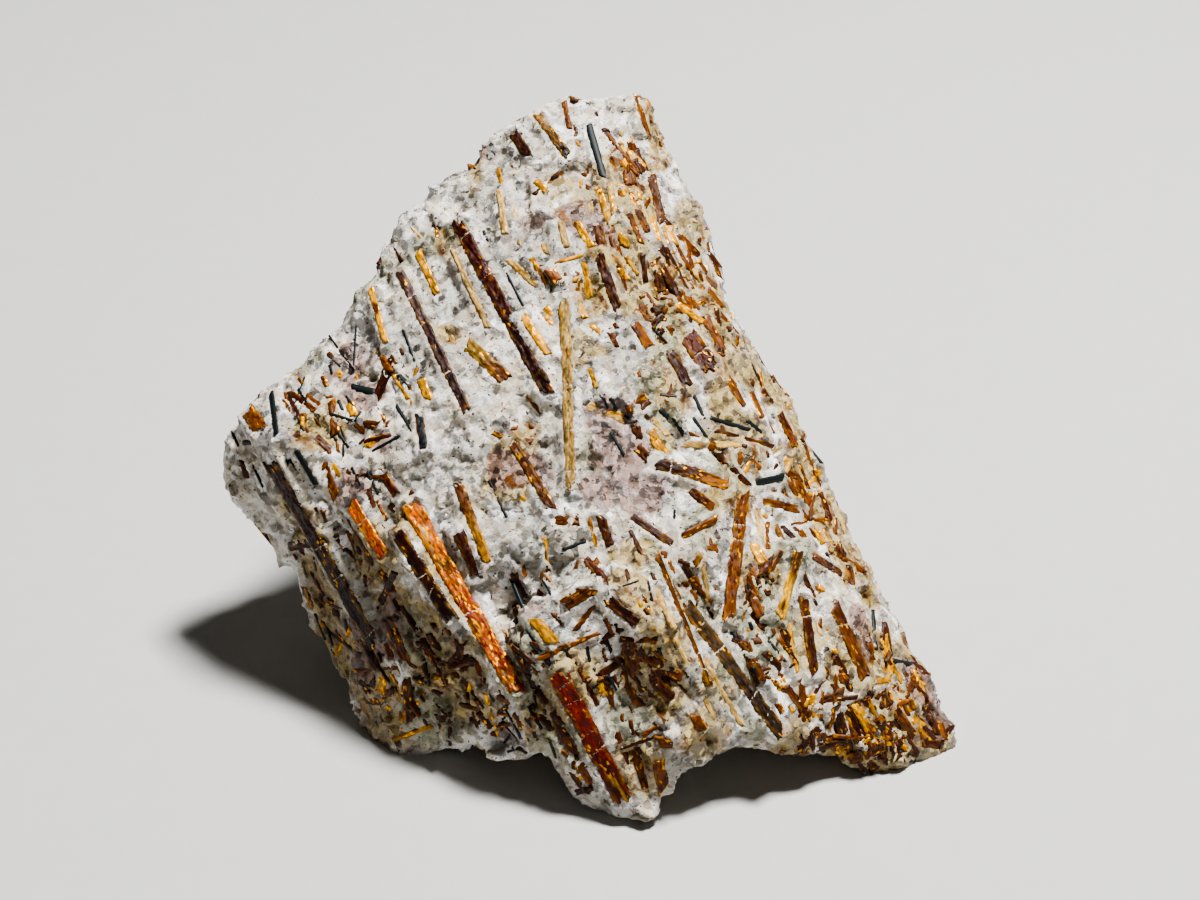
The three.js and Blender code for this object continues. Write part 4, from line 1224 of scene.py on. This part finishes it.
class SPECIMEN_OT_small_crystals(bpy.types.Operator):
    """Grows the chips, flakes and thin needles that cover the rock"""

    bl_idname = "specimen.small_crystals"
    bl_label = "Small crystals"

    def execute(self, context):
        colours = crystal_colours(context.scene.crystal_looks)
        flaky = astrophyllite("Astrophyllite, small flakes")
        for tone in SLOTS:
            laths = [lath for lath in Specimen.small if lath.tone == tone]
            material = bpy.data.materials["Aegirine needles, natural faces"] if tone == BLACK else flaky
            grow_many(f"small_{tone}_crystals", laths, colours, material, SLOTS[tone])
        return {"FINISHED"}


class SPECIMEN_OT_stage(bpy.types.Operator):
    """Adds the pale floor, the soft light and the camera"""

    bl_idname = "specimen.stage"
    bl_label = "Stage"

    def execute(self, context):
        settings = context.scene.stage_looks
        mesh = bpy.data.meshes.new("floor")
        corners = [(x * FLOOR_REACH, y * FLOOR_REACH, 0) for x, y in ((-1, -1), (1, -1), (1, 1), (-1, 1))]
        mesh.from_pydata(corners, [], [(0, 1, 2, 3)])
        mesh.materials.append(matt_card(settings.floor))
        floor = bpy.data.objects.new("floor", mesh)
        context.scene.collection.objects.link(floor)

        middle = Vector(MIDDLE * MM)
        lights = (
            ("key", KEY_PLACE, KEY_SIZE, settings.key),
            ("fill", FILL_PLACE, FILL_SIZE, settings.fill),
        )
        for name, place, size, power in lights:
            lamp = bpy.data.lights.new(name, "AREA")
            lamp.size = size
            lamp.energy = power
            light = bpy.data.objects.new(name, lamp)
            light.location = middle + Vector(place)
            light.rotation_euler = (-Vector(place)).to_track_quat("-Z", "Y").to_euler()
            context.scene.collection.objects.link(light)

        world = bpy.data.worlds.new("soft sky")
        world.use_nodes = True
        background = world.node_tree.nodes["Background"]
        background.inputs["Color"].default_value = SKY_COLOUR
        background.inputs["Strength"].default_value = settings.sky
        context.scene.world = world

        context.scene.view_settings.look = "AgX - Medium High Contrast"

        camera_data = bpy.data.cameras.new("eye")
        camera_data.lens = LENS
        camera_data.sensor_width = SENSOR
        camera_data.clip_start = NEAREST_SEEN
        camera = bpy.data.objects.new("eye", camera_data)
        camera.location = EYE
        camera.rotation_euler = (middle - Vector(EYE)).to_track_quat("-Z", "Y").to_euler()
        context.scene.collection.objects.link(camera)
        context.scene.camera = camera
        return {"FINISHED"}


class SPECIMEN_PT_looks(bpy.types.Panel):
    """Lists the settings and the steps that dress the specimen"""

    bl_label = "Astrophyllite cluster"
    bl_idname = "SPECIMEN_PT_looks"
    bl_space_type = "VIEW_3D"
    bl_region_type = "UI"
    bl_category = "Specimen"

    def draw(self, context):
        for operator in OPERATORS:
            self.layout.operator(operator.bl_idname)
        for name in SETTINGS:
            settings = getattr(context.scene, name)
            box = self.layout.box()
            for key in settings.bl_rna.properties.keys():
                if key not in {"rna_type", "name"}:
                    box.prop(settings, key)


SETTINGS = {
    "rock_looks": RockSettings,
    "crystal_looks": CrystalSettings,
    "small_crystal_looks": SmallCrystalSettings,
    "stage_looks": StageSettings,
}
OPERATORS = (
    SPECIMEN_OT_rock,
    SPECIMEN_OT_laths,
    SPECIMEN_OT_needles,
    SPECIMEN_OT_small_crystals,
    SPECIMEN_OT_stage,
)
CLASSES = (*SETTINGS.values(), *OPERATORS, SPECIMEN_PT_looks)


def register():
    for each in CLASSES:
        bpy.utils.register_class(each)
    for name, settings in SETTINGS.items():
        setattr(bpy.types.Scene, name, PointerProperty(type=settings))


def unregister():
    for name in SETTINGS:
        delattr(bpy.types.Scene, name)
    for each in reversed(CLASSES):
        bpy.utils.unregister_class(each)


def main():
    register()
    bpy.ops.specimen.rock()
    bpy.ops.specimen.laths()
    bpy.ops.specimen.needles()
    bpy.ops.specimen.small_crystals()
    bpy.ops.specimen.stage()


if __name__ == "__main__":
    main()
